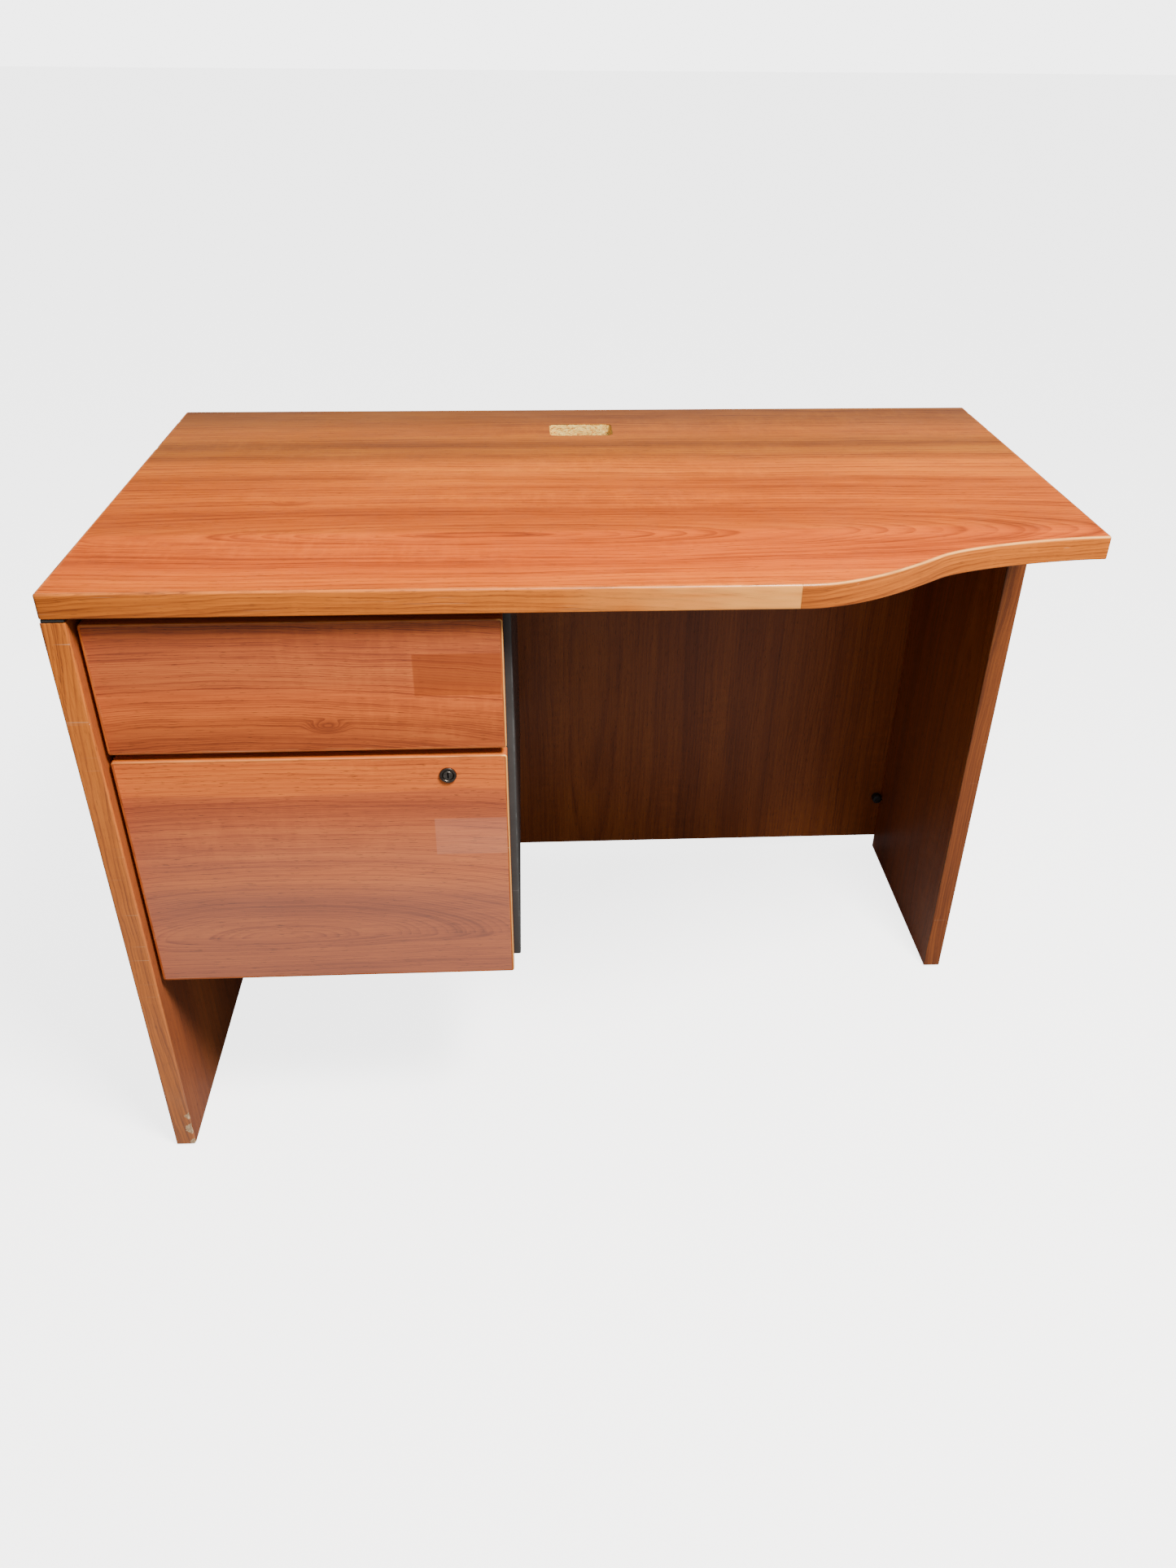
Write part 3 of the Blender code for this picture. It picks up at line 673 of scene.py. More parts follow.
upper_front_laminate = laminate(
    "cherry_front_upper",
    "XZY",
    FRONT_STOPS,
    dict(
        Heart=(-0.38, 0.47, -0.28), Knot=(-0.282, 0.594, -0.29), Stretch=3.8,
        Ring_Width=0.0066, Band_Width=0.070, Sway=0.022, Seed=4.0,
    ),
    staves=(0.585, 0.735, UPPER_STAVES),
    sheen=(1, 0.58, 0.74, 0.03),
    patch=(("X", "Z", (-0.193, 0.628), (-0.100, 0.676), 0.002), (0.30, 0.052, 0.010), 0.62),
    rings=0.80,
)
lower_front_laminate = laminate(
    "cherry_front_lower",
    "XZY",
    FRONT_STOPS,
    dict(
        Heart=(-0.36, 0.322, -0.277), Stretch=4.4, Straighten_Below=1.0,
        Ring_Width=0.0060, Band_Width=0.080, Sway=0.024, Seed=5.0,
    ),
    staves=(0.26, 0.587, LOWER_STAVES),
    sheen=(1, 0.56, 0.36, 0.16),
    patch=(("X", "Z", (-0.182, 0.433), (-0.090, 0.481), 0.0012), (0.84, 0.46, 0.34), 0.17),
    rings=0.58,
)
print("front prints", upper_front_laminate.name, lower_front_laminate.name)

# %% The panels' print, darkened as painted shade
# Painted shade: the cherry print made darker for the end panels, the modesty panel and the worktop's backer,
# which stand mostly in shadow under the worktop.
PAINTED_SHADE_STOPS = (
    (0.00, (0.190, 0.044, 0.014)),
    (0.40, (0.330, 0.080, 0.020)),
    (0.70, (0.470, 0.125, 0.028)),
    (1.00, (0.600, 0.180, 0.040)),
)
panel_laminate = laminate(
    "cherry_panel",
    "ZYX",
    PAINTED_SHADE_STOPS,
    dict(Heart=(0.30, 0.05, 0.40), Stretch=7.0, Ring_Width=0.010, Band_Width=0.060, Sway=0.030, Seed=9.0),
    roughness=0.38,
    shine=0.24,
    sheen=(0, 0.60, 0.10, 0.035),
)
modesty_laminate = laminate(
    "cherry_modesty",
    "ZXY",
    PAINTED_SHADE_STOPS,
    dict(Heart=(0.35, 0.02, 0.20), Stretch=9.0, Ring_Width=0.012, Band_Width=0.070, Sway=0.040, Seed=14.0),
    roughness=0.42,
    shine=0.45,
    sheen=(0, 0.52, 0.76, 0.09),
)
print("panel prints", panel_laminate.name, modesty_laminate.name)

# %% [markdown]
# ## Edge band, board core and the metals
# The bands are coloured plastic strip glued round the boards. Their print runs along the strip, so the
# colour follows the strip's own length, which the sweep stores on the mesh as "run". The mesh also stores
# where the strip is rubbed or chipped, and how cream its lip is. The cream lip is partly a hand's rubbing
# and partly a painted highlight of the light that a rounded lip catches. A chair wears the face to a paler
# orange, and a chip shows ragged plastic, whose outline is torn by a noise in the material.


# %% Edge band colours
BAND_STOPS = (
    (0.00, (0.230, 0.052, 0.008)),
    (0.30, (0.440, 0.108, 0.012)),
    (0.58, (0.680, 0.176, 0.015)),
    (1.00, (0.880, 0.260, 0.026)),
)
# Painted shade: a darker band print for the right panel's front edge, which stands in shade.
PAINTED_SHADE_BAND_STOPS = (
    (0.00, (0.130, 0.032, 0.010)),
    (0.35, (0.230, 0.060, 0.015)),
    (0.65, (0.330, 0.092, 0.020)),
    (1.00, (0.450, 0.140, 0.030)),
)
FRONT_BAND_STOPS = (
    (0.00, (0.300, 0.060, 0.012)),
    (0.35, (0.470, 0.100, 0.018)),
    (0.60, (0.600, 0.140, 0.022)),
    (1.00, (0.760, 0.220, 0.040)),
)
# Cream of a lip: partly rubbed plastic, partly a painted highlight.
CREAM_RUB_AND_HIGHLIGHT = (0.98, 0.48, 0.12)
BARE_STRIP = (1.0, 0.42, 0.09)
BAND_SCRATCH = (0.80, 0.58, 0.36)
FLAKE_STOPS = ((0.35, (0.34, 0.16, 0.06)), (0.6, (0.84, 0.58, 0.32)))
FLOOR_DUST = (0.52, 0.41, 0.33)
DUST_REACH = 0.66
print("band tones", len(BAND_STOPS), len(PAINTED_SHADE_BAND_STOPS), len(FRONT_BAND_STOPS))


# %% Edge band finish
def lip_cream_print(tree, colour, patch):
    """The print with a cream lip, partly rubbing and partly a painted highlight, and its face rubbed bare, as
    the mesh says.
    """
    # Cream on the lip, where the mesh says and faintly along every lip: partly rubbing, partly a painted
    # highlight.
    rubbed = maths(tree, "MULTIPLY", attribute(tree, "worn"), span(tree, patch, 0.30, 0.60, 0.45, 1.0))
    lip = maths(tree, "MULTIPLY", attribute(tree, "lip"), span(tree, patch, 0.50, 0.68))
    colour = blend(tree, maths(tree, "MAXIMUM", rubbed, maths(tree, "MULTIPLY", lip, 0.10)), colour, CREAM_RUB_AND_HIGHLIGHT)
    return blend(tree, attribute(tree, "bare"), colour, BARE_STRIP)


def chip_mask(tree, flake):
    """Where a chip has torn the strip: the mesh's soft round spot, with a ragged outline."""
    spot = attribute(tree, "chip")
    torn = maths(tree, "MULTIPLY_ADD", centred(tree, flake), 1.6, spot)
    return maths(tree, "MULTIPLY", span(tree, torn, 0.42, 0.52), span(tree, spot, 0.0, 0.15))


def floor_film(tree, place, smudge, amount):
    """How much dust dulls the strip: most at the floor, little at the top."""
    film = span(tree, parted(tree, place)[2], 0.0, DUST_REACH, amount, 0.1 * amount, smooth=False)
    return maths(tree, "MULTIPLY", film, span(tree, smudge, 0.0, 1.0, 0.75, 1.25))


def band_finish(name, stops, seed, floor_dust=0.0):
    """Printed plastic strip: its grain follows run, across and inset."""
    made, tree, sockets, place = material(name)
    vector = combined(tree, *(attribute(tree, label) for label in ("run", "across", "inset")))
    grain = use(
        tree, cherry_grain, Vector=vector, Heart=(0.3, -0.02, 0.03),
        Stretch=12.0, Ring_Width=0.007, Band_Width=0.016, Sway=0.034, Seed=seed,
    )
    colour = print_colour(tree, grain, stops, rings=0.64, fibre=0.32, figure=0.06)
    patch = speckle(tree, stretched(tree, vector, 26.0, 120.0, 120.0), 1.0, 4.0, 0.65, 3.0)
    colour = lip_cream_print(tree, colour, patch)
    flake = speckle(tree, place, 420.0, 4.0, 0.7, 5.0)
    chip = chip_mask(tree, flake)
    colour = blend(tree, chip, colour, ramp(tree, flake, FLAKE_STOPS))
    marks = use(tree, scuffs, Vector=place, Amount=0.8)
    if floor_dust:
        colour = blend(tree, floor_film(tree, place, marks["Smudge"], floor_dust), colour, FLOOR_DUST)
    colour = blend(tree, maths(tree, "MULTIPLY", marks["Lines"], 0.5), colour, BAND_SCRATCH)
    feed(tree, sockets["Base Color"], colour)
    rough = maths(tree, "MULTIPLY_ADD", marks["Smudge"], 0.20, 0.30)
    feed(tree, sockets["Roughness"], maths(tree, "MULTIPLY_ADD", chip, 0.4, rough))
    height = maths(tree, "MULTIPLY_ADD", grain["Pores"], -0.6, maths(tree, "MULTIPLY", patch, 0.5))
    feed(tree, sockets["Normal"], bump(tree, height, 0.3, 0.0003))
    return made


edge_band = band_finish("golden_band", BAND_STOPS, 1.0)
dusty_band = band_finish("dusty_band", BAND_STOPS, 1.0, 0.21)
# The right panel's band, darkened as painted shade.
shaded_band = band_finish("shaded_band", PAINTED_SHADE_BAND_STOPS, 6.0)
front_band = band_finish("front_band", FRONT_BAND_STOPS, 3.0)
print("bands", [band.name for band in (edge_band, dusty_band, shaded_band, front_band)])


# %% Particleboard
STRAW_STOPS = (
    (0.00, (0.55, 0.20, 0.03)),
    (0.15, (0.88, 0.44, 0.08)),
    (0.50, (0.97, 0.60, 0.13)),
    (1.00, (1.00, 0.76, 0.24)),
)
GAP_COLOUR = (0.16, 0.07, 0.03)


def particleboard():
    """Pressed wood flakes: cells of random straw tones, with dark gaps between some of them."""
    made, tree, sockets, place = material("particleboard")
    flat = stretched(tree, place, 420.0, 420.0, 900.0)
    cells = put(tree, "ShaderNodeTexVoronoi", feature="F1")
    feed(tree, cells.inputs["Vector"], flat)
    cells.inputs["Scale"].default_value = 1.0
    tone, dryness, lift = parted(tree, cells.outputs["Color"])
    gaps = span(tree, speckle(tree, flat, 0.8, 4.0, 0.65, 2.0), 0.60, 0.70)
    colour = blend(tree, maths(tree, "MULTIPLY", gaps, 0.75), ramp(tree, tone, STRAW_STOPS), GAP_COLOUR)
    feed(tree, sockets["Base Color"], colour)
    feed(tree, sockets["Roughness"], span(tree, dryness, 0.0, 1.0, 0.75, 0.95))
    height = maths(tree, "SUBTRACT", lift, gaps)
    feed(tree, sockets["Normal"], bump(tree, height, 0.8, 0.0006))
    return made


core_board = particleboard()
print("board core", core_board.name)


# %% Metals, enamel and black plastic
RUBBED_STEEL = (0.30, 0.30, 0.30)
ENAMEL_SCRATCH = (0.26, 0.26, 0.26)
ROOM_DUST = (0.34, 0.31, 0.28)
PLASTIC_DUST = (0.22, 0.20, 0.18)


def metal(name, colour, dark, roughness, grain_scale):
    """Bare or plated metal with drawn streaks and stains."""
    made, tree, sockets, place = material(name)
    drawn = speckle(tree, stretched(tree, place, 60.0, 60.0, 900.0), 1.0, 3.0, 0.6, 1.0)
    stain = speckle(tree, place, grain_scale, 5.0, 0.6, 2.0)
    tone = maths(tree, "MULTIPLY_ADD", centred(tree, drawn), 0.5, stain, clamp=True)
    feed(tree, sockets["Base Color"], ramp(tree, tone, ((0.30, dark), (0.62, colour))))
    feed(tree, sockets["Roughness"], span(tree, stain, 0.3, 0.7, roughness + 0.10, roughness - 0.06))
    sockets["Metallic"].default_value = 1.0
    feed(tree, sockets["Normal"], bump(tree, drawn, 0.15, 0.0002))
    return made


def enamel(name, colour, pale, roughness=0.38, dusting=0.4):
    """Baked enamel with a fine orange-peel skin, rubbed to steel along its edges."""
    made, tree, sockets, place = material(name)
    worn = edge_mask(tree, place, 0.0016, 70.0)
    marks = use(tree, scuffs, Vector=place, Amount=0.6)
    cloud = speckle(tree, place, 14.0, 5.0, 0.6, 1.0)
    base = ramp(tree, cloud, ((0.30, colour), (0.75, pale)))
    base = blend(tree, maths(tree, "MULTIPLY", worn, 0.5), base, RUBBED_STEEL)
    base = blend(tree, maths(tree, "MULTIPLY", marks["Lines"], 0.5), base, ENAMEL_SCRATCH)
    film = use(tree, dust, Vector=place, Amount=dusting)["Mask"]
    feed(tree, sockets["Base Color"], blend(tree, film, base, ROOM_DUST))
    rough = maths(tree, "MULTIPLY_ADD", marks["Smudge"], 0.18, roughness)
    feed(tree, sockets["Roughness"], maths(tree, "MULTIPLY_ADD", film, 0.4, rough))
    peel = speckle(tree, place, 850.0, 2.0, 0.5, 0.0)
    feed(tree, sockets["Normal"], bump(tree, peel, 0.25, 0.0003))
    return made


def plastic(name, colour, pale, grain=1400.0, roughness=0.5):
    """Moulded black plastic or foam with a fine texture and dusty patches."""
    made, tree, sockets, place = material(name)
    cloud = speckle(tree, place, 60.0, 5.0, 0.65, 1.0)
    base = ramp(tree, cloud, ((0.35, colour), (0.75, pale)))
    film = use(tree, dust, Vector=place, Amount=0.5)["Mask"]
    feed(tree, sockets["Base Color"], blend(tree, film, base, PLASTIC_DUST))
    feed(tree, sockets["Roughness"], span(tree, cloud, 0.3, 0.7, roughness - 0.08, roughness + 0.10))
    feed(tree, sockets["Normal"], bump(tree, speckle(tree, place, grain, 3.0, 0.6, 0.0), 0.35, 0.0004))
    return made


case_enamel = enamel("charcoal_case", (0.040, 0.040, 0.040), (0.072, 0.071, 0.070))
drawer_enamel = enamel("charcoal_drawer", (0.028, 0.029, 0.030), (0.055, 0.056, 0.058), 0.42, 0.13)
zinc_steel = metal("bright_zinc", (0.66, 0.66, 0.64), (0.40, 0.40, 0.39), 0.34, 45.0)
lock_metal = metal("dull_nickel", (0.150, 0.130, 0.112), (0.050, 0.043, 0.038), 0.34, 160.0)
plug_metal = metal("plug_nickel", (0.200, 0.180, 0.160), (0.080, 0.072, 0.066), 0.36, 220.0)
black_plastic = plastic("moulded_black", (0.010, 0.010, 0.011), (0.026, 0.026, 0.028))
foam = plastic("spacer_foam", (0.012, 0.011, 0.011), (0.034, 0.032, 0.031), 2600.0, 0.8)
print("finishes", len(bpy.data.materials))

# %% [markdown]
# ## Mesh helpers
# Four kinds of shape make almost everything on a desk: a board with eased edges, a bent sheet, a turned
# part and a flat plate. Each helper returns a closed mesh that faces outwards.
# Every point also stores its piece's box, so that the edge wear knows where the edges are.


# %% Closed meshes and arcs
EASE_ANGLE, BAND_ANGLE = 32.0, 40.0


def smoothed(mesh, angle):
    """The mesh shaded smooth, except across edges that turn by more than the angle in degrees."""
    mesh.shade_smooth()
    mesh.set_sharp_from_angle(angle=math.radians(angle))
    return mesh


def arc(centre, radius, first, turn=90.0, steps=6):
    """Points on a circle from the first angle, turning anticlockwise by the second one, in degrees."""
    angles = [math.radians(first + turn * i / steps) for i in range(steps + 1)]
    return [Vector(centre) + radius * Vector((math.cos(a), math.sin(a))) for a in angles]


def closed(shape, name, angle=EASE_ANGLE):
    """The finished mesh of a closed bmesh, smooth across its round parts only."""
    bmesh.ops.remove_doubles(shape, verts=shape.verts, dist=1e-6)
    bmesh.ops.recalc_face_normals(shape, faces=shape.faces)
    mesh = bpy.data.meshes.new(name)
    shape.to_mesh(mesh)
    shape.free()
    return smoothed(mesh, angle)


def board(name, low, high, radius, segments=3):
    """A box with all of its edges eased to a radius."""
    shape = bmesh.new()
    bmesh.ops.create_cube(shape, size=1.0)
    low, high = Vector(low), Vector(high)
    bmesh.ops.scale(shape, vec=high - low, verts=shape.verts)
    bmesh.ops.translate(shape, vec=(low + high) / 2, verts=shape.verts)
    bmesh.ops.bevel(shape, geom=shape.edges, offset=radius, segments=segments, profile=0.5, affect="EDGES")
    return closed(shape, name)


def spread(point, distance, along):
    """A 2D point and a distance along the named axis, as a 3D point."""
    values = list(point)
    values.insert("XYZ".index(along), distance)
    return values


def prism(name, outline, along, ends):
    """A solid of one outline, drawn in the plane across an axis."""
    shape = bmesh.new()
    rings = [[shape.verts.new(spread(point, end, along)) for point in outline] for end in ends]
    count = len(outline)
    for i in range(count):
        j = (i + 1) % count
        shape.faces.new((rings[0][i], rings[0][j], rings[1][j], rings[1][i]))
    shape.faces.new(rings[0])
    shape.faces.new(rings[1])
    return closed(shape, name)


print("boards and prisms ready")


# %% Bent sheets and turned parts
def rounded_corners(points, radius, steps=5):
    """An open line with each of its inner corners turned into an arc."""
    line = [Vector(points[0])]
    for before, corner, after in zip(points, points[1:], points[2:]):
        corner = Vector(corner)
        back = (Vector(before) - corner).normalized()
        ahead = (Vector(after) - corner).normalized()
        half = back.angle(ahead) / 2
        reach = radius / math.tan(half)
        centre = corner + (back + ahead).normalized() * radius / math.sin(half)
        start = corner + back * reach - centre
        end = corner + ahead * reach - centre
        sweep = start.angle(end)
        for i in range(steps + 1):
            share = i / steps
            arm = (start * math.sin((1 - share) * sweep) + end * math.sin(share * sweep)) / math.sin(sweep)
            line.append(centre + arm)
    line.append(Vector(points[-1]))
    return line


def bent_sheet(name, fold, along, ends, thickness, bend=0.0018):
    """A sheet folded along straight lines, with a true radius in every bend."""
    line = rounded_corners(fold, bend)
    sides = ([], [])
    for i, point in enumerate(line):
        before = line[max(i - 1, 0)]
        after = line[min(i + 1, len(line) - 1)]
        run = (after - before).normalized()
        across = Vector((-run.y, run.x)) * thickness / 2
        sides[0].append(point + across)
        sides[1].append(point - across)
    return prism(name, sides[0] + sides[1][::-1], along, ends)


def turned(name, profile, centre, steps=48, along="Y"):
    """A solid of revolution from a closed loop of (radius, distance) points round an axis.

    A point of no radius becomes a single point, so that the solid closes there without a hole.
    """
    shape = bmesh.new()
    rings = []
    for radius, distance in profile:
        count = 1 if radius == 0.0 else steps
        ring = []
        for i in range(count):
            turn = math.tau * i / steps
            point = spread((radius * math.cos(turn), radius * math.sin(turn)), distance, along)
            ring.append(shape.verts.new(Vector(point) + Vector(centre)))
        rings.append(ring)
    pairs = zip(rings, rings[1:] + rings[:1])
    for first, second in pairs:
        for i in range(steps):
            j = (i + 1) % steps
            here = [first[i % len(first)], first[j % len(first)]]
            there = [second[j % len(second)], second[i % len(second)]]
            face = list(dict.fromkeys(here + there))
            if len(face) > 2:
                shape.faces.new(face)
    return closed(shape, name)


def drill(radius, start, end, centre, steps=24, along="Y"):
    """A plain round bar, used to cut a hole."""
    return turned("drill", [(0.0, start), (radius, start), (radius, end), (0.0, end)], centre, steps, along)


print("sheets and turned parts ready")


# %% Placing a finished piece
def place_piece(name, mesh, finish, body, replaced=()):
    """A mesh becomes a piece of the desk, with its finish, the body it moves with and its CAD nodes."""
    mesh.name = name
    mesh.materials.clear()
    mesh.materials.append(finish)
    points = [vertex.co for vertex in mesh.vertices]
    low = [min(point[i] for point in points) for i in range(3)]
    high = [max(point[i] for point in points) for i in range(3)]
    for label, corner in (("box_low", low), ("box_high", high)):
        layer = mesh.attributes.new(label, "FLOAT_VECTOR", "POINT")
        layer.data.foreach_set("vector", corner * len(points))
    piece = placed(name, mesh)
    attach(piece, body)
    if replaced:
        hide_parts(*replaced)


def joined(name, meshes):
    """Several closed meshes as one."""
    shape = bmesh.new()
    for mesh in meshes:
        shape.from_mesh(mesh)
        bpy.data.meshes.remove(mesh)
    merged = bpy.data.meshes.new(name)
    shape.to_mesh(merged)
    shape.free()
    return merged


# %% [markdown]
# ## The worktop's sizes
# The frame's nodes give every place. Only the S-curve is drawn again here, as the same two Bezier arcs
# that the frame's front band follows, with more points so that it looks like one flowing line.

# %% Sizes read from the frame
UNDERSIDE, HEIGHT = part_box("worktop")[0].z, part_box("worktop")[1].z
LEFT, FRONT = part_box("front_band_left")[0].xy
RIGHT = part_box("right_side_band")[1].x
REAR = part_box("rear_band")[1].y
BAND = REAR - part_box("rear_band")[0].y
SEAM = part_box("front_band_right")[0].x
CAD_GAP = 0.0003
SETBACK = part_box("right_side_band")[0].y - BAND - CAD_GAP
GLUE_LINE = 0.00006
print("worktop", round(RIGHT - LEFT, 4), "by", round(REAR - FRONT, 4), "band", round(BAND, 4))

# %% The S-curve
CURVE_START = 0.190
CURVE_MIDDLE = (0.344, 0.071)
CURVE_SLOPE = math.radians(33)
CURVE_HANDLES = (0.062, 0.029, 0.040, 0.052)
CURVE_POINTS = 44


def s_curve():
    """The front edge from the end of its straight part to the right end."""
    reach = CURVE_HANDLES
    slope = Vector((math.cos(CURVE_SLOPE), math.sin(CURVE_SLOPE)))
    ahead = Vector((1.0, 0.0))
    start = Vector((CURVE_START, FRONT))
    middle = Vector((CURVE_MIDDLE[0], FRONT + CURVE_MIDDLE[1]))
    end = Vector((RIGHT, SETBACK))
    leaving, arriving = start + ahead * reach[0], middle - slope * reach[1]
    first = interpolate_bezier(start, leaving, arriving, middle, CURVE_POINTS)
    leaving, arriving = middle + slope * reach[2], end - ahead * reach[3]
    second = interpolate_bezier(middle, leaving, arriving, end, CURVE_POINTS)
    return [Vector(point[:2]) for point in first + second[1:]]


def inset_line(points, distance):
    """The same line moved to the left of its direction."""
    moved = []
    for i, point in enumerate(points):
        run = (points[min(i + 1, len(points) - 1)] - points[max(i - 1, 0)]).normalized()
        moved.append(point + Vector((-run.y, run.x)) * distance)
    return moved


front_curve = s_curve()
print("S-curve length", round(sum((b - a).length for a, b in zip(front_curve, front_curve[1:])), 4))

# %% [markdown]
# ## The worktop board
# The worktop is a 25 mm particleboard with a thin laminate on top and a brown backing sheet below. A slot
# for cables was sawn through it near the rear edge and left raw, so its walls show torn flakes.
# The three layers are separate meshes. Each is an outline with a hole, and the core's hole has many
# rows of points, pushed in and out by noise, so that the sawn wall is rough in the mesh itself.


# %% A board with a hole
FLAKES_PER_METRE, CLUMPS_PER_METRE = 420.0, 150.0


def resample(points, step):
    """A closed line with points a step apart."""
    out = []
    for a, b in zip(points, points[1:] + points[:1]):
        count = max(1, round((b - a).length / step))
        out.extend(a.lerp(b, i / count) for i in range(count))
    return out


def rounded_slot(centre, size, radius):
    """The outline of a rectangle with round corners, anticlockwise from its upper right."""
    reach_x, reach_y = size[0] / 2 - radius, size[1] / 2 - radius
    points = []
    for turn, (side_x, side_y) in enumerate(((1, 1), (-1, 1), (-1, -1), (1, -1))):
        corner = (centre[0] + side_x * reach_x, centre[1] + side_y * reach_y)
        points += arc(corner, radius, 90.0 * turn)
    return points


def pierced_board(name, outer, hole, levels, tear=0.0, fray=0.0):
    """A flat board between two levels with a hole whose wall is torn by up to the given depth."""
    shape = bmesh.new()
    middle = sum(hole, Vector((0.0, 0.0))) / len(hole)
    outer_rings = [[shape.verts.new((*point, z)) for point in outer] for z in (levels[0], levels[-1])]
    hole_rings = []
    for level, z in enumerate(levels):
        at_face = level in (0, len(levels) - 1)
        ring = []
        for point in hole:
            away = (point - middle).normalized()
            rough = noise.fractal(Vector((*point, z)) * FLAKES_PER_METRE, 0.7, 2.2, 4)
            coarse = noise.noise(Vector((point.x, point.y, z * 2.0)) * CLUMPS_PER_METRE)
            push = fray * rough if at_face else tear * (0.5 * rough + 0.5 * coarse)
            ring.append(shape.verts.new((*(point + away * push), z)))
        hole_rings.append(ring)
    for outer_ring, hole_ring in zip(outer_rings, (hole_rings[0], hole_rings[-1])):
        ring = outer_ring + hole_ring
        loops = [[vertex.co for vertex in outer_ring], [vertex.co for vertex in hole_ring]]
        for triangle in tessellate_polygon(loops):
            shape.faces.new([ring[i] for i in triangle])
    for first, second in [outer_rings, *zip(hole_rings, hole_rings[1:])]:
        count = len(first)
        for i in range(count):
            j = (i + 1) % count
            shape.faces.new((first[i], first[j], second[j], second[i]))
    return closed(shape, name)


print("pierced board ready")

# %% The three layers
CUTOUT_CENTRE = (-0.004, FRONT + 0.5135)
CUTOUT_SIZE = (0.0815, 0.0515)
CUTOUT_RADIUS = 0.008
WALL_STEP, WALL_ROWS = 0.0011, 18
LAYER = 0.0008

inner = BAND + GLUE_LINE
core_line = [Vector((LEFT + inner, FRONT + inner)), Vector((SEAM, FRONT + inner))]
core_line += inset_line(front_curve, inner)
core_line[-1].x = RIGHT - inner
core_line += [Vector((RIGHT - inner, REAR - inner)), Vector((LEFT + inner, REAR - inner))]
hole_line = resample(rounded_slot(CUTOUT_CENTRE, CUTOUT_SIZE, CUTOUT_RADIUS), WALL_STEP)
core_thickness = HEIGHT - UNDERSIDE - 2 * LAYER
core_levels = [HEIGHT - LAYER - core_thickness * i / WALL_ROWS for i in range(WALL_ROWS + 1)]

core = pierced_board("worktop_core", core_line, hole_line, core_levels, tear=0.0011, fray=0.0003)
place_piece("worktop_core", core, core_board, "desk", ["worktop"])
skin = pierced_board("worktop_laminate", core_line, hole_line, [HEIGHT, HEIGHT - LAYER], fray=0.00022)
place_piece("worktop_laminate", skin, top_laminate, "desk")
# The backer uses the modesty panel's print, darkened as painted shade.
backer = pierced_board("worktop_backer", core_line, hole_line, [UNDERSIDE + LAYER, UNDERSIDE], fray=0.0004)
place_piece("worktop_backer", backer, modesty_laminate, "desk")
print("cut-out wall points", len(hole_line) * (WALL_ROWS + 1))

# %% [markdown]
# ## Edge bands by sweeping
# A band is one profile carried along a line, which is exactly what Geometry Nodes do well. The tree takes
# the line and the profile as objects, sweeps one along the other, and stores how far along, across and
# deep each point lies. The finish reads those three values, so its print bends with the S-curve.
# Every line is drawn flat and the mesh is then turned into place, which keeps the profile upright.


# %% The sweep tree
def new_tree(name, inputs):
    """A Geometry Nodes tree with a geometry output and the named inputs."""
    tree = bpy.data.node_groups.new(name, "GeometryNodeTree")
    tree.interface.new_socket("Geometry", in_out="INPUT", socket_type="NodeSocketGeometry")
    for label, kind in inputs.items():
        tree.interface.new_socket(label, in_out="INPUT", socket_type="NodeSocket" + kind)
    tree.interface.new_socket("Geometry", in_out="OUTPUT", socket_type="NodeSocketGeometry")
    return tree, put(tree, "NodeGroupInput").outputs, put(tree, "NodeGroupOutput").inputs[0]


def stored(tree, geometry, label, value):
    """The geometry with a value stored on its points under a name."""
    node = put(tree, "GeometryNodeStoreNamedAttribute", data_type="FLOAT", domain="POINT")
    feed(tree, node.inputs["Geometry"], geometry)
    node.inputs["Name"].default_value = label
    feed(tree, node.inputs["Value"], value)
    return node.outputs[0]


def with_finish(tree, geometry, finish, result):
    """Ends a tree: instances made real, then the finish."""
    real = put(tree, "GeometryNodeRealizeInstances")
    feed(tree, real.inputs[0], geometry)
    node = put(tree, "GeometryNodeSetMaterial")
    feed(tree, node.inputs["Geometry"], real.outputs[0])
    feed(tree, node.inputs["Material"], finish)
    feed(tree, result, node.outputs[0])


def build_sweep_tree():
    inputs = {"Line": "Object", "Profile": "Object", "Finish": "Material"}
    tree, given, result = new_tree("band_sweep", inputs)
    line = put(tree, "GeometryNodeObjectInfo")
    feed(tree, line.inputs["Object"], given["Line"])
    profile = put(tree, "GeometryNodeObjectInfo")
    feed(tree, profile.inputs["Object"], given["Profile"])
    upright = put(tree, "GeometryNodeSetCurveNormal", mode="Z_UP")
    feed(tree, upright.inputs["Curve"], line.outputs["Geometry"])
    run = put(tree, "GeometryNodeSplineParameter").outputs["Length"]
    # Half a turn of tilt puts the profile's inset on the left of the line, which is inside the board.
    turned_over = put(tree, "GeometryNodeSetCurveTilt")
    feed(tree, turned_over.inputs["Curve"], upright.outputs[0])
    turned_over.inputs["Tilt"].default_value = math.pi
    path = stored(tree, turned_over.outputs[0], "run", run)
    inset, across, _ = parted(tree, put(tree, "GeometryNodeInputPosition").outputs[0])
    outline = stored(tree, profile.outputs["Geometry"], "inset", inset)
    outline = stored(tree, outline, "across", across)
    swept = put(tree, "GeometryNodeCurveToMesh")
    feed(tree, swept.inputs["Curve"], path)
    feed(tree, swept.inputs["Profile Curve"], outline)
    swept.inputs["Fill Caps"].default_value = True
    with_finish(tree, swept.outputs[0], given["Finish"], result)
    return tree


def evaluated(host):
    """A plain mesh of an object as its modifiers make it."""
    bpy.context.view_layer.update()
    return bpy.data.meshes.new_from_object(host.evaluated_get(bpy.context.evaluated_depsgraph_get()))


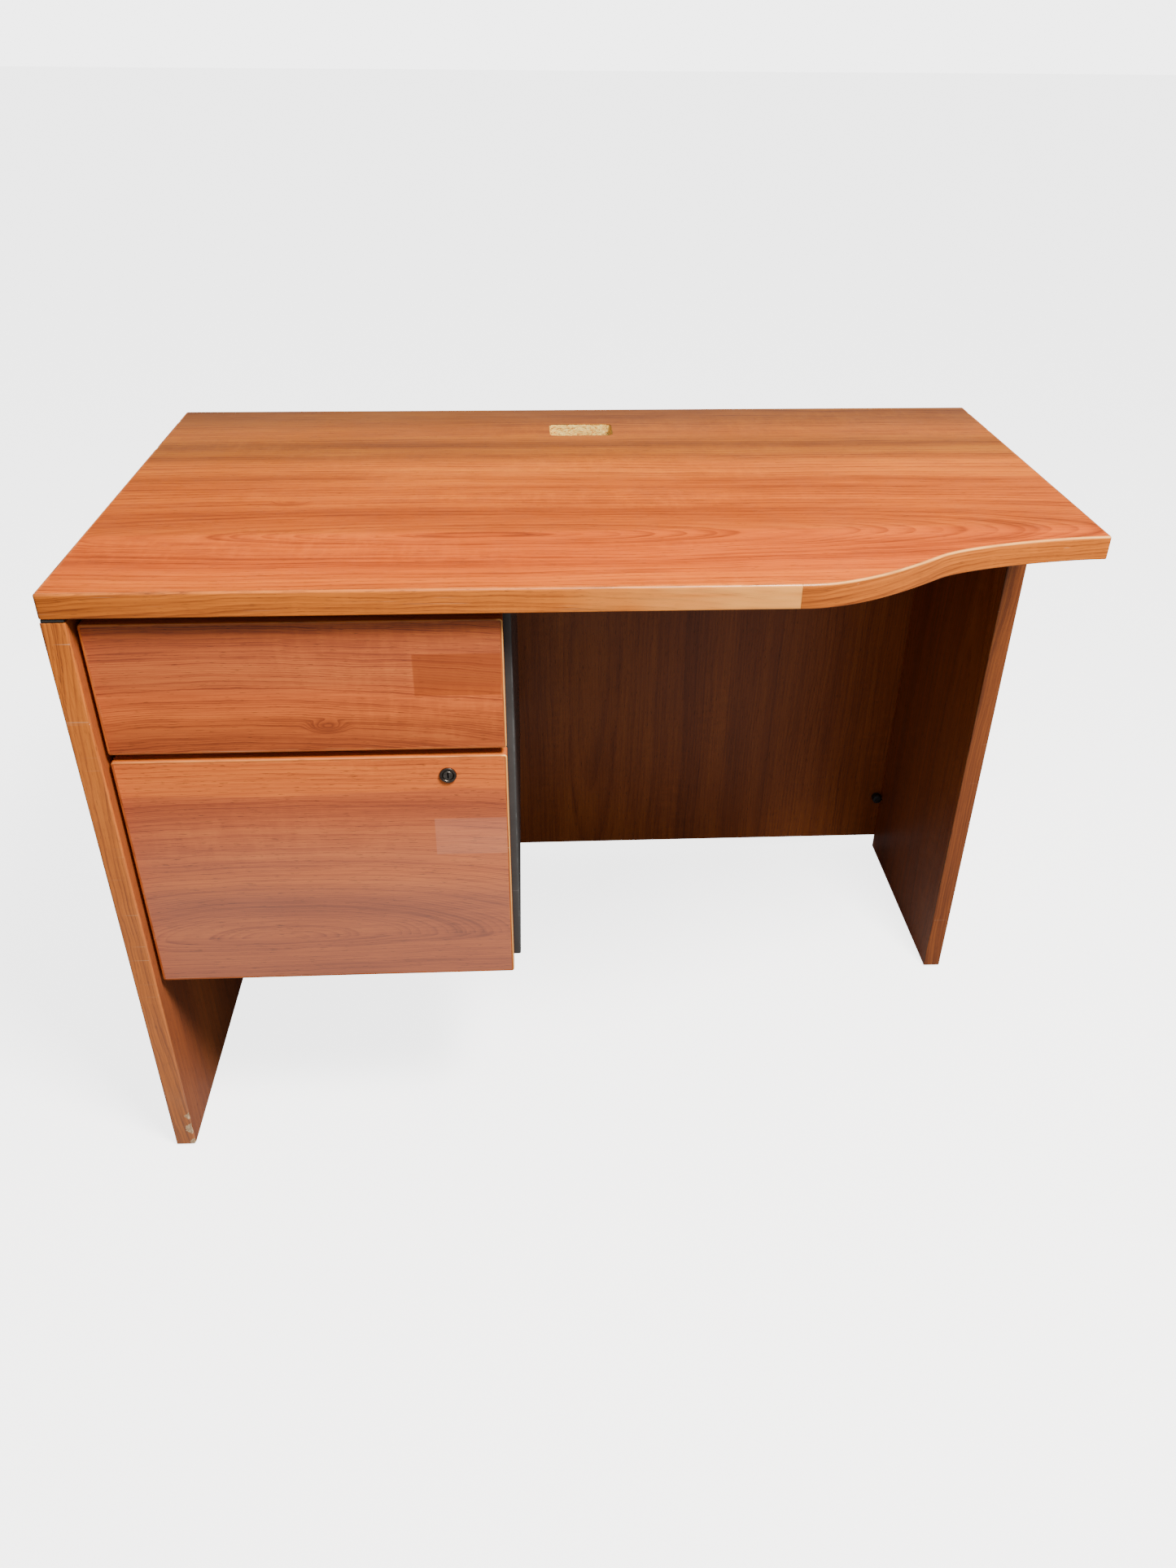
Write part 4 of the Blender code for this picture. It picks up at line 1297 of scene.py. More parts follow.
def grown(name, tree, **values):
    """The mesh that a tree makes from its named inputs."""
    host = placed(name, bpy.data.meshes.new(name))
    modifier = host.modifiers.new("made", "NODES")
    modifier.node_group = tree
    sockets = {item.name: item.identifier for item in tree.interface.items_tree if item.in_out == "INPUT"}
    for label, value in values.items():
        modifier[sockets[label]] = value
    mesh = evaluated(host)
    bpy.data.objects.remove(host)
    return mesh


def guide(name, points, cyclic=False):
    """A line of straight segments that a tree reads; it isn't shown and is removed after use."""
    curve = bpy.data.curves.new(name, "CURVE")
    curve.dimensions = "3D"
    spline = curve.splines.new("POLY")
    spline.points.add(len(points) - 1)
    for target, point in zip(spline.points, points):
        target.co = (point[0], point[1], 0.0, 1.0)
    spline.use_cyclic_u = cyclic
    return placed(name, curve)


band_sweep = build_sweep_tree()
print("sweep tree nodes", len(band_sweep.nodes))


# %% Profiles
FACE_STEP = 0.0035


def band_profile(width, depth, lip, back_lip):
    """A strip's cross-section: inset from its outer face, and across it, with two rounded outer corners."""
    face = width - lip - back_lip
    count = max(1, round(face / FACE_STEP))
    flat = [Vector((0.0, back_lip + face * i / count)) for i in range(1, count)]
    back_corner = arc((back_lip, back_lip), back_lip, 270.0, -90.0)
    lip_corner = arc((lip, width - lip), lip, 180.0, -90.0)
    return [Vector((depth, 0.0)), *back_corner, *flat, *lip_corner, Vector((depth, width))]


def swept_band(name, line, width, depth, finish, lip, back_lip, cyclic=False):
    """A band that lies to the left of its line, in the flat plane."""
    path = guide(name + "_line", line, cyclic)
    outline = guide(name + "_profile", band_profile(width, depth, lip, back_lip), True)
    mesh = grown(name, band_sweep, Line=path, Profile=outline, Finish=finish)
    bpy.data.objects.remove(path)
    bpy.data.objects.remove(outline)
    return mesh


def straight(start, end, step=0.004):
    """Points from one end to the other, a step apart."""
    start, end = Vector(start), Vector(end)
    count = max(1, round((end - start).length / step))
    return [start.lerp(end, i / count) for i in range(count + 1)]


print("profile helpers ready")

# %% [markdown]
# ## Cream lips and chips
# Wear belongs to places on the desk, and so does the cream on a lip, which is partly a painted highlight,
# so both are stored on the mesh's points and the finish only reads them.
# A chip is real: the points near its centre move into the strip by up to its depth, and noise breaks
# the bite up. They move towards a line that lies a little nearer the desk's middle than the strip does,
# so that a chip on either side of the desk, or on a foot's inner corner, always bites inwards.


# %% Wear and chips on a band
TOWARDS_MIDDLE = 0.98
FACE_INSET = 0.0012
BITES_PER_METRE = 900.0
BITE_SLOPE = 0.4


def lip_share(inset, from_top, lip):
    """How near a point is to the top of the lip: one at its edge, nothing where the round ends."""
    return max(0.0, 1.0 - max(0.0, math.hypot(inset, from_top) - 0.4 * lip) / (0.55 * lip))


def bitten(point, middle, chips):
    """Where the chips near a point push it, and how chipped it is."""
    point, chipped = point.copy(), 0.0
    for centre, radius, depth in chips:
        share = 1.0 - (point - Vector(centre)).length / radius
        if share > 0.0:
            bite = share * (0.6 + 0.8 * noise.noise(point * BITES_PER_METRE))
            sideways = math.copysign(1.0, middle.x * TOWARDS_MIDDLE - point.x)
            upright = math.copysign(BITE_SLOPE, middle.z - point.z)
            point += Vector((sideways, 0.0, upright)) * depth * max(0.0, bite)
            chipped = max(chipped, min(1.0, 2.0 * share))
    return point, chipped


def mark_band(mesh, width, lip, lip_cream_at=None, chips=(), bare_at=None):
    """Stores lip, worn, bare and chip on a band's points, and pushes the points near each chip inwards."""
    insets = [item.value for item in mesh.attributes["inset"].data]
    acrosses = [item.value for item in mesh.attributes["across"].data]
    values = {"lip": [], "worn": [], "bare": [], "chip": []}
    middle = sum((vertex.co for vertex in mesh.vertices), Vector()) / len(mesh.vertices)
    for vertex, inset, across in zip(mesh.vertices, insets, acrosses):
        near_lip = lip_share(inset, width - across, lip)
        values["lip"].append(near_lip)
        # The worn value is the lip's cream: partly rubbing, partly a painted highlight.
        values["worn"].append(lip_cream_at(vertex.co, near_lip) if lip_cream_at else 0.0)
        values["bare"].append(bare_at(vertex.co) if bare_at and inset < FACE_INSET else 0.0)
        vertex.co, chipped = bitten(vertex.co, middle, chips)
        values["chip"].append(chipped)
    for label, found in values.items():
        mesh.attributes.new(label, "FLOAT", "POINT").data.foreach_set("value", found)
    return smoothed(mesh, BAND_ANGLE)


print("band marks ready")

# %% [markdown]
# ## The bands round the worktop
# The front band is two lengths that meet in a butt joint where the S-curve begins. Its upper lip is cream
# along the S-curve, partly rubbed where people brush past and partly a painted highlight of the light on
# the rounded lip, and its face is pale in front of the chair.


# %% Worktop bands
BAND_WIDTH = HEIGHT - UNDERSIDE
CORNER = BAND
DEPTH_OF_BAND = BAND - GLUE_LINE
TOP_LIP, UNDER_LIP = 0.0024, 0.0012
CHAIR_FROM, CHAIR_TO = -0.050, 0.186
LIP_CREAM_FROM, LIP_CREAM_REACH = 0.15, 0.08
BUTT_GAP = 0.00012


def front_lip_rub_and_glint(place, lip):
    """How cream the front band's lip is, partly rubbing and partly a painted highlight: it grows along the
    S-curve.
    """
    return lip * min(1.0, max(0.0, (place.x - LIP_CREAM_FROM) / LIP_CREAM_REACH))


def chair_wear(place):
    """How bare the chair has rubbed the face: nothing at the left, most where the two bands meet."""
    if not CHAIR_FROM < place.x < CHAIR_TO:
        return 0.0
    share = (place.x - CHAIR_FROM) / (CHAIR_TO - CHAIR_FROM)
    streak = noise.noise(Vector((place.x * 28.0, 3.0, place.z * 190.0)))
    return min(0.95, max(0.0, 1.15 * share * (0.80 + 0.60 * streak)))


def worktop_band(name, line, node, lip_cream=None, chips=(), bare=None):
    """One band of the worktop, swept along its line and raised to the worktop's height."""
    mesh = swept_band(name, line, BAND_WIDTH, DEPTH_OF_BAND, edge_band, TOP_LIP, UNDER_LIP)
    mesh.transform(Matrix.Translation((0.0, 0.0, UNDERSIDE)))
    mark_band(mesh, BAND_WIDTH, TOP_LIP, lip_cream, chips, bare)
    place_piece(name, mesh, edge_band, "desk", [node])
    print(name, len(mesh.vertices), "points")


# %% The five lengths of band
left_line = arc((LEFT + CORNER, FRONT + CORNER), CORNER, 180.0)
left_line += straight((LEFT + CORNER, FRONT), (SEAM - BUTT_GAP, FRONT))[1:]
right_line = straight((SEAM + BUTT_GAP, FRONT), (CURVE_START, FRONT))[:-1] + front_curve[:-1]
right_line += arc((RIGHT - CORNER, SETBACK + CORNER), CORNER, 270.0)
right_arc = arc((RIGHT - CORNER, REAR - CORNER), CORNER, 0.0)
left_arc = arc((LEFT + CORNER, REAR - CORNER), CORNER, 90.0)
rear_line = right_arc + straight(right_arc[-1], left_arc[0])[1:-1] + left_arc
side_from, side_to = FRONT + CORNER + BUTT_GAP, REAR - CORNER - BUTT_GAP
left_side_line = straight((LEFT, side_to), (LEFT, side_from), 0.003)
right_side_line = straight((RIGHT, SETBACK + CORNER + BUTT_GAP), (RIGHT, side_to), 0.003)

left_chips = (((LEFT, REAR - 0.16, HEIGHT), 0.007, 0.0016), ((LEFT, REAR - 0.045, HEIGHT), 0.005, 0.0012))
right_chips = (((RIGHT, REAR - 0.03, HEIGHT), 0.006, 0.0014), ((RIGHT, REAR - 0.11, HEIGHT), 0.004, 0.0010))
worktop_band("front_edge_left", left_line, "front_band_left", front_lip_rub_and_glint, (), chair_wear)
worktop_band("front_edge_right", right_line, "front_band_right", front_lip_rub_and_glint)
worktop_band("left_edge", left_side_line, "left_side_band", None, left_chips)
worktop_band("right_edge", right_side_line, "right_side_band", None, right_chips)
worktop_band("rear_edge", rear_line, "rear_band")

# %% [markdown]
# ## End panels
# Each end panel is a laminated board with a banded front edge. It stands on two pressed glides, and a
# strip of black foam seals it to the worktop. The band is swept flat like the others, then stood up.
# The left foot has been kicked for years, so its inner corner has three chips.


# %% Panels, their bands, foam and glides
UPRIGHT = Matrix(((0, 0, -1, 0), (0, 1, 0, 0), (1, 0, 0, 0), (0, 0, 0, 1)))
PANEL_LIP = 0.0020
GLIDE_PROFILE = (
    (0.0, 0.0), (0.0058, 0.0001), (0.0082, 0.0006), (0.0102, 0.0017), (0.0110, 0.0027), (0.0, 0.0027),
)


def glides(side):
    """The pressed steel glides under one panel: domed discs that the panel stands on."""
    nodes = [f"{side}_glide_front", f"{side}_glide_rear"]
    domes = []
    for low, high in (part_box(node) for node in nodes):
        centre = ((low.x + high.x) / 2, (low.y + high.y) / 2, low.z)
        domes.append(turned("glide", GLIDE_PROFILE, centre, 40, "Z"))
    name = f"{side}_glides"
    place_piece(name, joined(name, domes), zinc_steel, "desk", nodes)


def end_panel(side, finish, chips):
    """One laminated panel with its banded front edge, its foam strip and its glides."""
    low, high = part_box(f"{side}_panel")
    band_low, band_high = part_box(f"{side}_panel_band")
    panel_low = Vector((low.x, band_high.y + GLUE_LINE, low.z))
    mesh = board(f"{side}_end_panel", panel_low, high, 0.0005)
    place_piece(f"{side}_end_panel", mesh, panel_laminate, "desk", [f"{side}_panel"])
    width = band_high.x - band_low.x
    line = straight((0.0, 0.0), (band_high.z - band_low.z, 0.0), 0.002)
    depth = band_high.y - band_low.y
    strip = swept_band(f"{side}_panel_edge", line, width, depth, finish, PANEL_LIP, PANEL_LIP)
    strip.transform(Matrix.Translation((band_high.x, band_low.y, band_low.z)) @ UPRIGHT)
    mark_band(strip, width, PANEL_LIP, None, chips)
    place_piece(f"{side}_panel_edge", strip, finish, "desk", [f"{side}_panel_band"])
    foam_low, foam_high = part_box(f"{side}_spacer_strip")
    mesh = board(f"{side}_foam_strip", foam_low, foam_high, 0.0012, 4)
    place_piece(f"{side}_foam_strip", mesh, foam, "desk", [f"{side}_spacer_strip"])
    glides(side)


inner_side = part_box("left_panel_band")[1].x
foot_chips = [
    ((inner_side, FRONT + 0.001, height), radius, depth)
    for height, radius, depth in ((0.030, 0.011, 0.0022), (0.052, 0.007, 0.0014), (0.006, 0.008, 0.0016))
]
end_panel("left", dusty_band, foot_chips)
# The right panel's front band is darkened as painted shade.
end_panel("right", shaded_band, ())
low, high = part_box("modesty_panel")
mesh = board("modesty_board", low, high, 0.0004)
place_piece("modesty_board", mesh, modesty_laminate, "desk", ["modesty_panel"])
print("panels up to", round(high.z, 4))

# %% [markdown]
# ## Corner fittings and screws
# Black plastic caps cover the cams that hold the modesty panel, and pan-head screws hold the brackets,
# the case and the drawers' backs. One small tree sets any head on any list of points and turns it to
# face the way each point says, so every screw on the desk is the same shape, placed by numbers.


# %% Studs on points
def build_stud_tree():
    tree, given, result = new_tree("studs", {"Points": "Object", "Head": "Object", "Finish": "Material"})
    points = put(tree, "GeometryNodeObjectInfo")
    feed(tree, points.inputs["Object"], given["Points"])
    head = put(tree, "GeometryNodeObjectInfo")
    feed(tree, head.inputs["Object"], given["Head"])
    facing = put(tree, "GeometryNodeInputNamedAttribute", data_type="FLOAT_VECTOR")
    facing.inputs["Name"].default_value = "facing"
    turn = put(tree, "FunctionNodeAlignEulerToVector", axis="Z")
    feed(tree, turn.inputs["Vector"], facing.outputs[0])
    heads = put(tree, "GeometryNodeInstanceOnPoints")
    feed(tree, heads.inputs["Points"], points.outputs["Geometry"])
    feed(tree, heads.inputs["Instance"], head.outputs["Geometry"])
    feed(tree, heads.inputs["Rotation"], turn.outputs[0])
    with_finish(tree, heads.outputs[0], given["Finish"], result)
    return tree


def studs(name, head_mesh, spots, finish):
    """One mesh of the same head at every (place, facing) spot."""
    points = bpy.data.meshes.new(name + "_points")
    points.from_pydata([place for place, _ in spots], [], [])
    layer = points.attributes.new("facing", "FLOAT_VECTOR", "POINT")
    layer.data.foreach_set("vector", [value for _, facing in spots for value in facing])
    made = [placed(name + "_points", points), placed(name + "_head", head_mesh)]
    result = grown(name, stud_tree, Points=made[0], Head=made[1], Finish=finish)
    for item in made:
        bpy.data.objects.remove(item)
    return result


stud_tree = build_stud_tree()
print("stud tree nodes", len(stud_tree.nodes))


# %% The screw head
HEAD_RADIUS, HEAD_HEIGHT = 0.0038, 0.0022
SLOT_REACH, SLOT_HALF = 0.58 * HEAD_RADIUS, 0.13 * HEAD_RADIUS
SLOT_FLOOR = 0.35 * HEAD_HEIGHT


def carved(mesh, cutters):
    """The mesh with each cutter taken out of it."""
    host = placed("carved", mesh)
    tools = [placed("cutter", cutter) for cutter in cutters]
    for tool in tools:
        cut = host.modifiers.new("cut", "BOOLEAN")
        cut.solver = "EXACT"
        cut.object = tool
    result = evaluated(host)
    for item in [host, *tools]:
        bpy.data.objects.remove(item)
    return smoothed(result, EASE_ANGLE)


def cross_head():
    """A pan-head screw's head with a cross recess, flat side on the surface, looking along Z."""
    dome = [
        (0.0, 0.0), (HEAD_RADIUS, 0.0), (HEAD_RADIUS, 0.35 * HEAD_HEIGHT),
        (0.86 * HEAD_RADIUS, 0.75 * HEAD_HEIGHT), (0.55 * HEAD_RADIUS, HEAD_HEIGHT), (0.0, HEAD_HEIGHT),
    ]
    slots = []
    for turn in (0.0, math.pi / 2):
        low = (-SLOT_REACH, -SLOT_HALF, SLOT_FLOOR)
        slot = board("slot", low, (SLOT_REACH, SLOT_HALF, 2 * HEAD_HEIGHT), 0.0002, 1)
        slot.transform(Matrix.Rotation(turn, 4, "Z"))
        slots.append(slot)
    return carved(turned("head", dome, (0.0, 0.0, 0.0), 28, "Z"), slots)


screw_head = cross_head()
print("screw head faces", len(screw_head.polygons))

# %% Caps at the modesty panel's corners
fitting_nodes = [f"{side}_fitting_{level}" for side in ("left", "right") for level in ("lower", "upper")]
fitting_boxes = [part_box(node) for node in fitting_nodes]
cap_low, cap_high = fitting_boxes[0]
cap_radius = (cap_high.x - cap_low.x) / 2
cap_length = cap_high.y - cap_low.y
cap_profile = [(0.0, 0.0), (cap_radius, 0.0)] + [
    (share * cap_radius, cap_length - drop)
    for share, drop in (
        (1.0, 0.0026), (0.94, 0.0010), (0.80, 0.0002), (0.55, 0.0), (0.50, 0.0008), (0.0, 0.0009),
    )
]
cap = turned("cap", cap_profile, (0.0, 0.0, 0.0), 40, "Z")
spots = [(((a.x + b.x) / 2, b.y, (a.z + b.z) / 2), (0.0, -1.0, 0.0)) for a, b in fitting_boxes]
mesh = studs("corner_caps", cap, spots, black_plastic)
place_piece("corner_caps", mesh, black_plastic, "desk", fitting_nodes)
print("corner caps", len(spots))

# %% [markdown]
# ## Brackets under the worktop
# Two steel angles join the right panel to the worktop. Each is folded from a 2 mm strip. Each leg has a
# screw, and beside it a spare hole that is left open.


# %% Angle brackets
BRACKET_SHEET, BRACKET_BEND = 0.002, 0.0022
HOLE_RADIUS, FROM_LEG_END = 0.0026, 0.010
HOLE_OFFSET, SCREW_OFFSET = -0.011, 0.009


def angle_bracket(end):
    """One bracket with its two open holes; it returns where its two screws go."""
    node = f"top_bracket_{end}"
    low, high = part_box(node)
    corner = (high.x - BRACKET_SHEET / 2, high.z - BRACKET_SHEET / 2)
    fold = [(low.x, corner[1]), corner, (corner[0], low.z)]
    mesh = bent_sheet(node, fold, "Y", (low.y, high.y), BRACKET_SHEET, BRACKET_BEND)
    middle = (low.y + high.y) / 2
    x, z = low.x + FROM_LEG_END, low.z + FROM_LEG_END
    hole_y, screw_y = middle + HOLE_OFFSET, middle + SCREW_OFFSET
    top_hole = drill(HOLE_RADIUS, -0.01, 0.01, (x, hole_y, high.z), along="Z")
    side_hole = drill(HOLE_RADIUS, -0.01, 0.01, (high.x, hole_y, z), along="X")
    mesh = carved(mesh, [top_hole, side_hole])
    place_piece(f"angle_bracket_{end}", mesh, zinc_steel, "desk", [node])
    return [
        ((x, screw_y, high.z - BRACKET_SHEET), (0.0, 0.0, -1.0)),
        ((high.x - BRACKET_SHEET, screw_y, z), (-1.0, 0.0, 0.0)),
    ]


desk_screws = angle_bracket("front") + angle_bracket("rear")
print("bracket screws", len(desk_screws))

# %% [markdown]
# ## The hung steel case
# The pedestal is a case of thin enamelled sheet. Each side's front and rear edges fold inwards and run
# back along the sheet, as a hollow post that the drawer slides screw to. Channels tie the two sides
# together, and a plain back closes the case. Every fold here has a real bend radius, because a bend
# that catches the light as a thin line is what makes sheet metal look like sheet metal.


# %% Case sides and back
CASE_SHEET = 0.0012
CASE_FOLD = 0.0105
CASE_RETURN = 0.030
BEND = 0.0019
HOOK_HOLES, HOOK_FIRST, HOOK_STEP = 8, 0.045, 0.052
HOOK_WIDTH, HOOK_HEIGHT = 0.0044, 0.009
HOOK_SHARE = 0.72


def case_side(side, inwards):
    """One side with its folded posts and their rows of tall holes, which the slides hook into."""
    node = f"case_{side}_side"
    low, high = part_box(node)
    half = CASE_SHEET / 2
    outer = low.x if inwards > 0 else high.x
    skin = outer + inwards * half
    post = outer + inwards * (CASE_FOLD - half)
    front, rear = low.y + half, high.y - half
    fold = [
        (post, front + CASE_RETURN), (post, front), (skin, front),
        (skin, rear), (post, rear), (post, rear - CASE_RETURN),
    ]
    mesh = bent_sheet(node, fold, "Z", (low.z, high.z), CASE_SHEET, BEND)
    holes = []
    for y in (front + CASE_RETURN * HOOK_SHARE, rear - CASE_RETURN * HOOK_SHARE):
        for i in range(HOOK_HOLES):
            z = low.z + HOOK_FIRST + i * HOOK_STEP
            hole_low = (post - 0.003, y - HOOK_WIDTH / 2, z)
            hole_high = (post + 0.003, y + HOOK_WIDTH / 2, z + HOOK_HEIGHT)
            holes.append(board("hole", hole_low, hole_high, 0.0004, 1))
    mesh = carved(mesh, [joined("holes", holes)])
    place_piece(f"pedestal_{side}_side", mesh, case_enamel, "desk", [node])
    return post


posts = {"left": case_side("left", 1), "right": case_side("right", -1)}
low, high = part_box("case_back")
mesh = board("pedestal_back", low, high, 0.0003)
place_piece("pedestal_back", mesh, case_enamel, "desk", ["case_back"])
FROM_CORNER = 0.03
desk_screws += [
    ((x, low.y, z), (0.0, -1.0, 0.0))
    for x in (low.x + FROM_CORNER, high.x - FROM_CORNER)
    for z in (low.z + FROM_CORNER, high.z - FROM_CORNER)
]
print("posts at", {side: round(x, 4) for side, x in posts.items()})

# %% Cross rails
RAIL_SCREW_INSET = 0.04
for node, opening in (
    ("case_top_rail_front", "down"), ("case_top_rail_rear", "down"),
    ("case_bottom_rail_front", "up"), ("case_bottom_rail_rear", "up"), ("case_lock_rail", "rear"),
):
    low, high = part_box(node)
    half = CASE_SHEET / 2
    front, rear, base, head = low.y + half, high.y - half, low.z + half, high.z - half
    folds = {
        "down": [(front, low.z), (front, head), (rear, head), (rear, low.z)],
        "up": [(front, high.z), (front, base), (rear, base), (rear, high.z)],
        "rear": [(high.y, base), (front, base), (front, head), (high.y, head)],
    }
    mesh = bent_sheet(node, folds[opening], "X", (low.x, high.x), CASE_SHEET, BEND)
    place_piece(node.replace("case", "pedestal"), mesh, case_enamel, "desk", [node])
    if "top" in node:
        middle = (low.y + high.y) / 2
        for x in (low.x + RAIL_SCREW_INSET, high.x - RAIL_SCREW_INSET):
            desk_screws.append(((x, middle, high.z - CASE_SHEET), (0.0, 0.0, -1.0)))
print("desk screws", len(desk_screws))

mesh = studs("desk_screws", screw_head.copy(), desk_screws, zinc_steel)
place_piece("desk_screws", mesh, zinc_steel, "desk")

# %% [markdown]
# ## Ball slides
# A drawer slide is a nest of channels with rows of steel balls between their flanges. The balls sit in
# a strip with a hole for each. A second tree lays a row of balls from a count, a spacing and a radius.


# %% A row of balls
def build_ball_tree():
    inputs = {"Count": "Int", "Spacing": "Float", "Radius": "Float", "Finish": "Material"}
    tree, given, result = new_tree("ball_row", inputs)
    row = put(tree, "GeometryNodeMeshLine")
    feed(tree, row.inputs["Count"], given["Count"])
    feed(tree, row.inputs["Offset"], combined(tree, 0.0, given["Spacing"], 0.0))
    ball = put(tree, "GeometryNodeMeshIcoSphere")
    feed(tree, ball.inputs["Radius"], given["Radius"])
    ball.inputs["Subdivisions"].default_value = 2
    balls = put(tree, "GeometryNodeInstanceOnPoints")
    feed(tree, balls.inputs["Points"], row.outputs[0])
    feed(tree, balls.inputs["Instance"], ball.outputs[0])
    with_finish(tree, balls.outputs[0], given["Finish"], result)
    return tree


ball_tree = build_ball_tree()
print("ball tree nodes", len(ball_tree.nodes))

# %% Slide members and their balls
MEMBER_SHEET, MEMBER_BEND = 0.0012, 0.0015
SLOT_FIRST, SLOT_STEP, SLOT_LAST = 0.030, 0.064, 0.020
SLOT_LENGTH, SLOT_WIDTH = 0.012, 0.0044
BALL_RADIUS, BALL_SPACING, BALLS = 0.00155, 0.0052, 40
CAGE_WIDTH, CAGE_THICKNESS, CAGE_END = 0.003, 0.0008, 0.004


def member(node, opens, body):
    """One channel of a slide with its screw slots; it opens towards the given side."""
    low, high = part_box(node)
    half = MEMBER_SHEET / 2
    web, mouth = (low.x + half, high.x) if opens > 0 else (high.x - half, low.x)
    fold = [(mouth, low.z + half), (web, low.z + half), (web, high.z - half), (mouth, high.z - half)]
    mesh = bent_sheet(node, fold, "Y", (low.y, high.y), MEMBER_SHEET, MEMBER_BEND)
    middle = (low.z + high.z) / 2
    cutters = []
    y = low.y + SLOT_FIRST
    while y < high.y - SLOT_LAST:
        slot_low = (web - 0.002, y - SLOT_LENGTH / 2, middle - SLOT_WIDTH / 2)
        slot_high = (web + 0.002, y + SLOT_LENGTH / 2, middle + SLOT_WIDTH / 2)
        cutters.append(board("slot", slot_low, slot_high, 0.0015))
        y += SLOT_STEP
    mesh = carved(mesh, [joined("slots", cutters)])
    place_piece(node.replace("slide", "runner"), mesh, zinc_steel, body, [node])
    return low, high


def ball_rows(name, x, middle, reach, start, body):
    """A row of balls above the middle and one below it, each in the strip that holds it."""
    rows = []
    end = start + BALL_SPACING * (BALLS - 1)
    for z in (middle - reach, middle + reach):
        mesh = grown(
            name, ball_tree, Count=BALLS, Spacing=BALL_SPACING, Radius=BALL_RADIUS, Finish=zinc_steel,
        )
        mesh.transform(Matrix.Translation((x, start, z)))
        mesh.shade_smooth()
        rows.append(mesh)
        cage_low = (x - CAGE_WIDTH / 2, start - CAGE_END, z - CAGE_THICKNESS / 2)
        cage_high = (x + CAGE_WIDTH / 2, end + CAGE_END, z + CAGE_THICKNESS / 2)
        rows.append(board("cage", cage_low, cage_high, 0.0002, 1))
    place_piece(name, joined(name, rows), zinc_steel, body)


print("members fold from", MEMBER_SHEET * 1000, "mm sheet")

# %% All the slides
FIRST_BALL = 0.020
for drawer in ("upper", "lower"):
    for side, inwards in (("left", 1), ("right", -1)):
        name = f"{drawer}_slide_{side}"
        case_low, case_high = member(f"{name}_case_member", inwards, "desk")
        slim_low, slim_high = member(f"{name}_drawer_member", -inwards, f"{drawer}_drawer")
        middle = (case_low.z + case_high.z) / 2
        start = case_low.y + FIRST_BALL
        outer = case_high.z - MEMBER_SHEET
        x = (max(case_low.x, slim_low.x) + min(case_high.x, slim_high.x)) / 2
        if drawer == "upper":
            reach = (outer + slim_high.z) / 2 - middle
            ball_rows(f"{drawer}_{side}_balls", x, middle, reach, start, "desk")
            continue
        top_of_middle = member(f"{name}_middle_member", inwards, "lower_slide_middles")[1].z
        reach = (outer + top_of_middle) / 2 - middle
        ball_rows(f"{drawer}_{side}_outer_balls", x, middle, reach, start, "desk")
        reach = (top_of_middle - MEMBER_SHEET + slim_high.z) / 2 - middle
        ball_rows(f"{drawer}_{side}_inner_balls", x, middle, reach, start, "lower_slide_middles")
print("ball rows laid")

# %% [markdown]
# ## Drawer bodies
# Each drawer is a steel box: two sides folded in under the bottom and hemmed outwards at the top, a
# bottom sheet with pressed ribs that keep it flat, and a back. The ribs are real: a grid of points is
# raised in smooth bumps, copied below for the underside, and the two are joined round their rims.


# %% A bottom sheet with pressed ribs
RIB_SHARES = (0.2, 0.4, 0.6, 0.8)
RIB_RISE, RIB_HALF_WIDTH = 0.0014, 0.0045
RIB_INSET, RIB_FADE = 0.020, 0.012
RIB_COLUMNS, RIB_ROWS = 40, 150
RIB_ANGLE = 50.0


def ribbed_sheet(name, low, high):
    """A sheet between two corners with rounded ribs pressed across it, which fade out near its sides."""
    ribs = [low.y + (high.y - low.y) * share for share in RIB_SHARES]
    shape = bmesh.new()
    grid = []
    for j in range(RIB_ROWS + 1):
        y = low.y + (high.y - low.y) * j / RIB_ROWS
        lift = sum(math.exp(-(((y - rib) / RIB_HALF_WIDTH) ** 2)) for rib in ribs)
        row = []
        for i in range(RIB_COLUMNS + 1):
            x = low.x + (high.x - low.x) * i / RIB_COLUMNS
            fade = min(1.0, max(0.0, (min(x - low.x, high.x - x) - RIB_INSET) / RIB_FADE))
            row.append(shape.verts.new((x, y, high.z + RIB_RISE * lift * fade)))
        grid.append(row)
    for first, second in zip(grid, grid[1:]):
        for i in range(RIB_COLUMNS):
            shape.faces.new((first[i], first[i + 1], second[i + 1], second[i]))
    copy = bmesh.ops.duplicate(shape, geom=shape.faces[:])
    below = [item for item in copy["geom"] if isinstance(item, bmesh.types.BMVert)]
    bmesh.ops.translate(shape, vec=(0.0, 0.0, low.z - high.z), verts=below)
    bmesh.ops.bridge_loops(shape, edges=[edge for edge in shape.edges if edge.is_boundary])
    return closed(shape, name, RIB_ANGLE)


print("ribs", len(RIB_SHARES), "in each bottom")


# %% The drawer boxes
HEM = 0.005
BACK_FLANGE = 0.0055
BOX_BEND = 0.0017


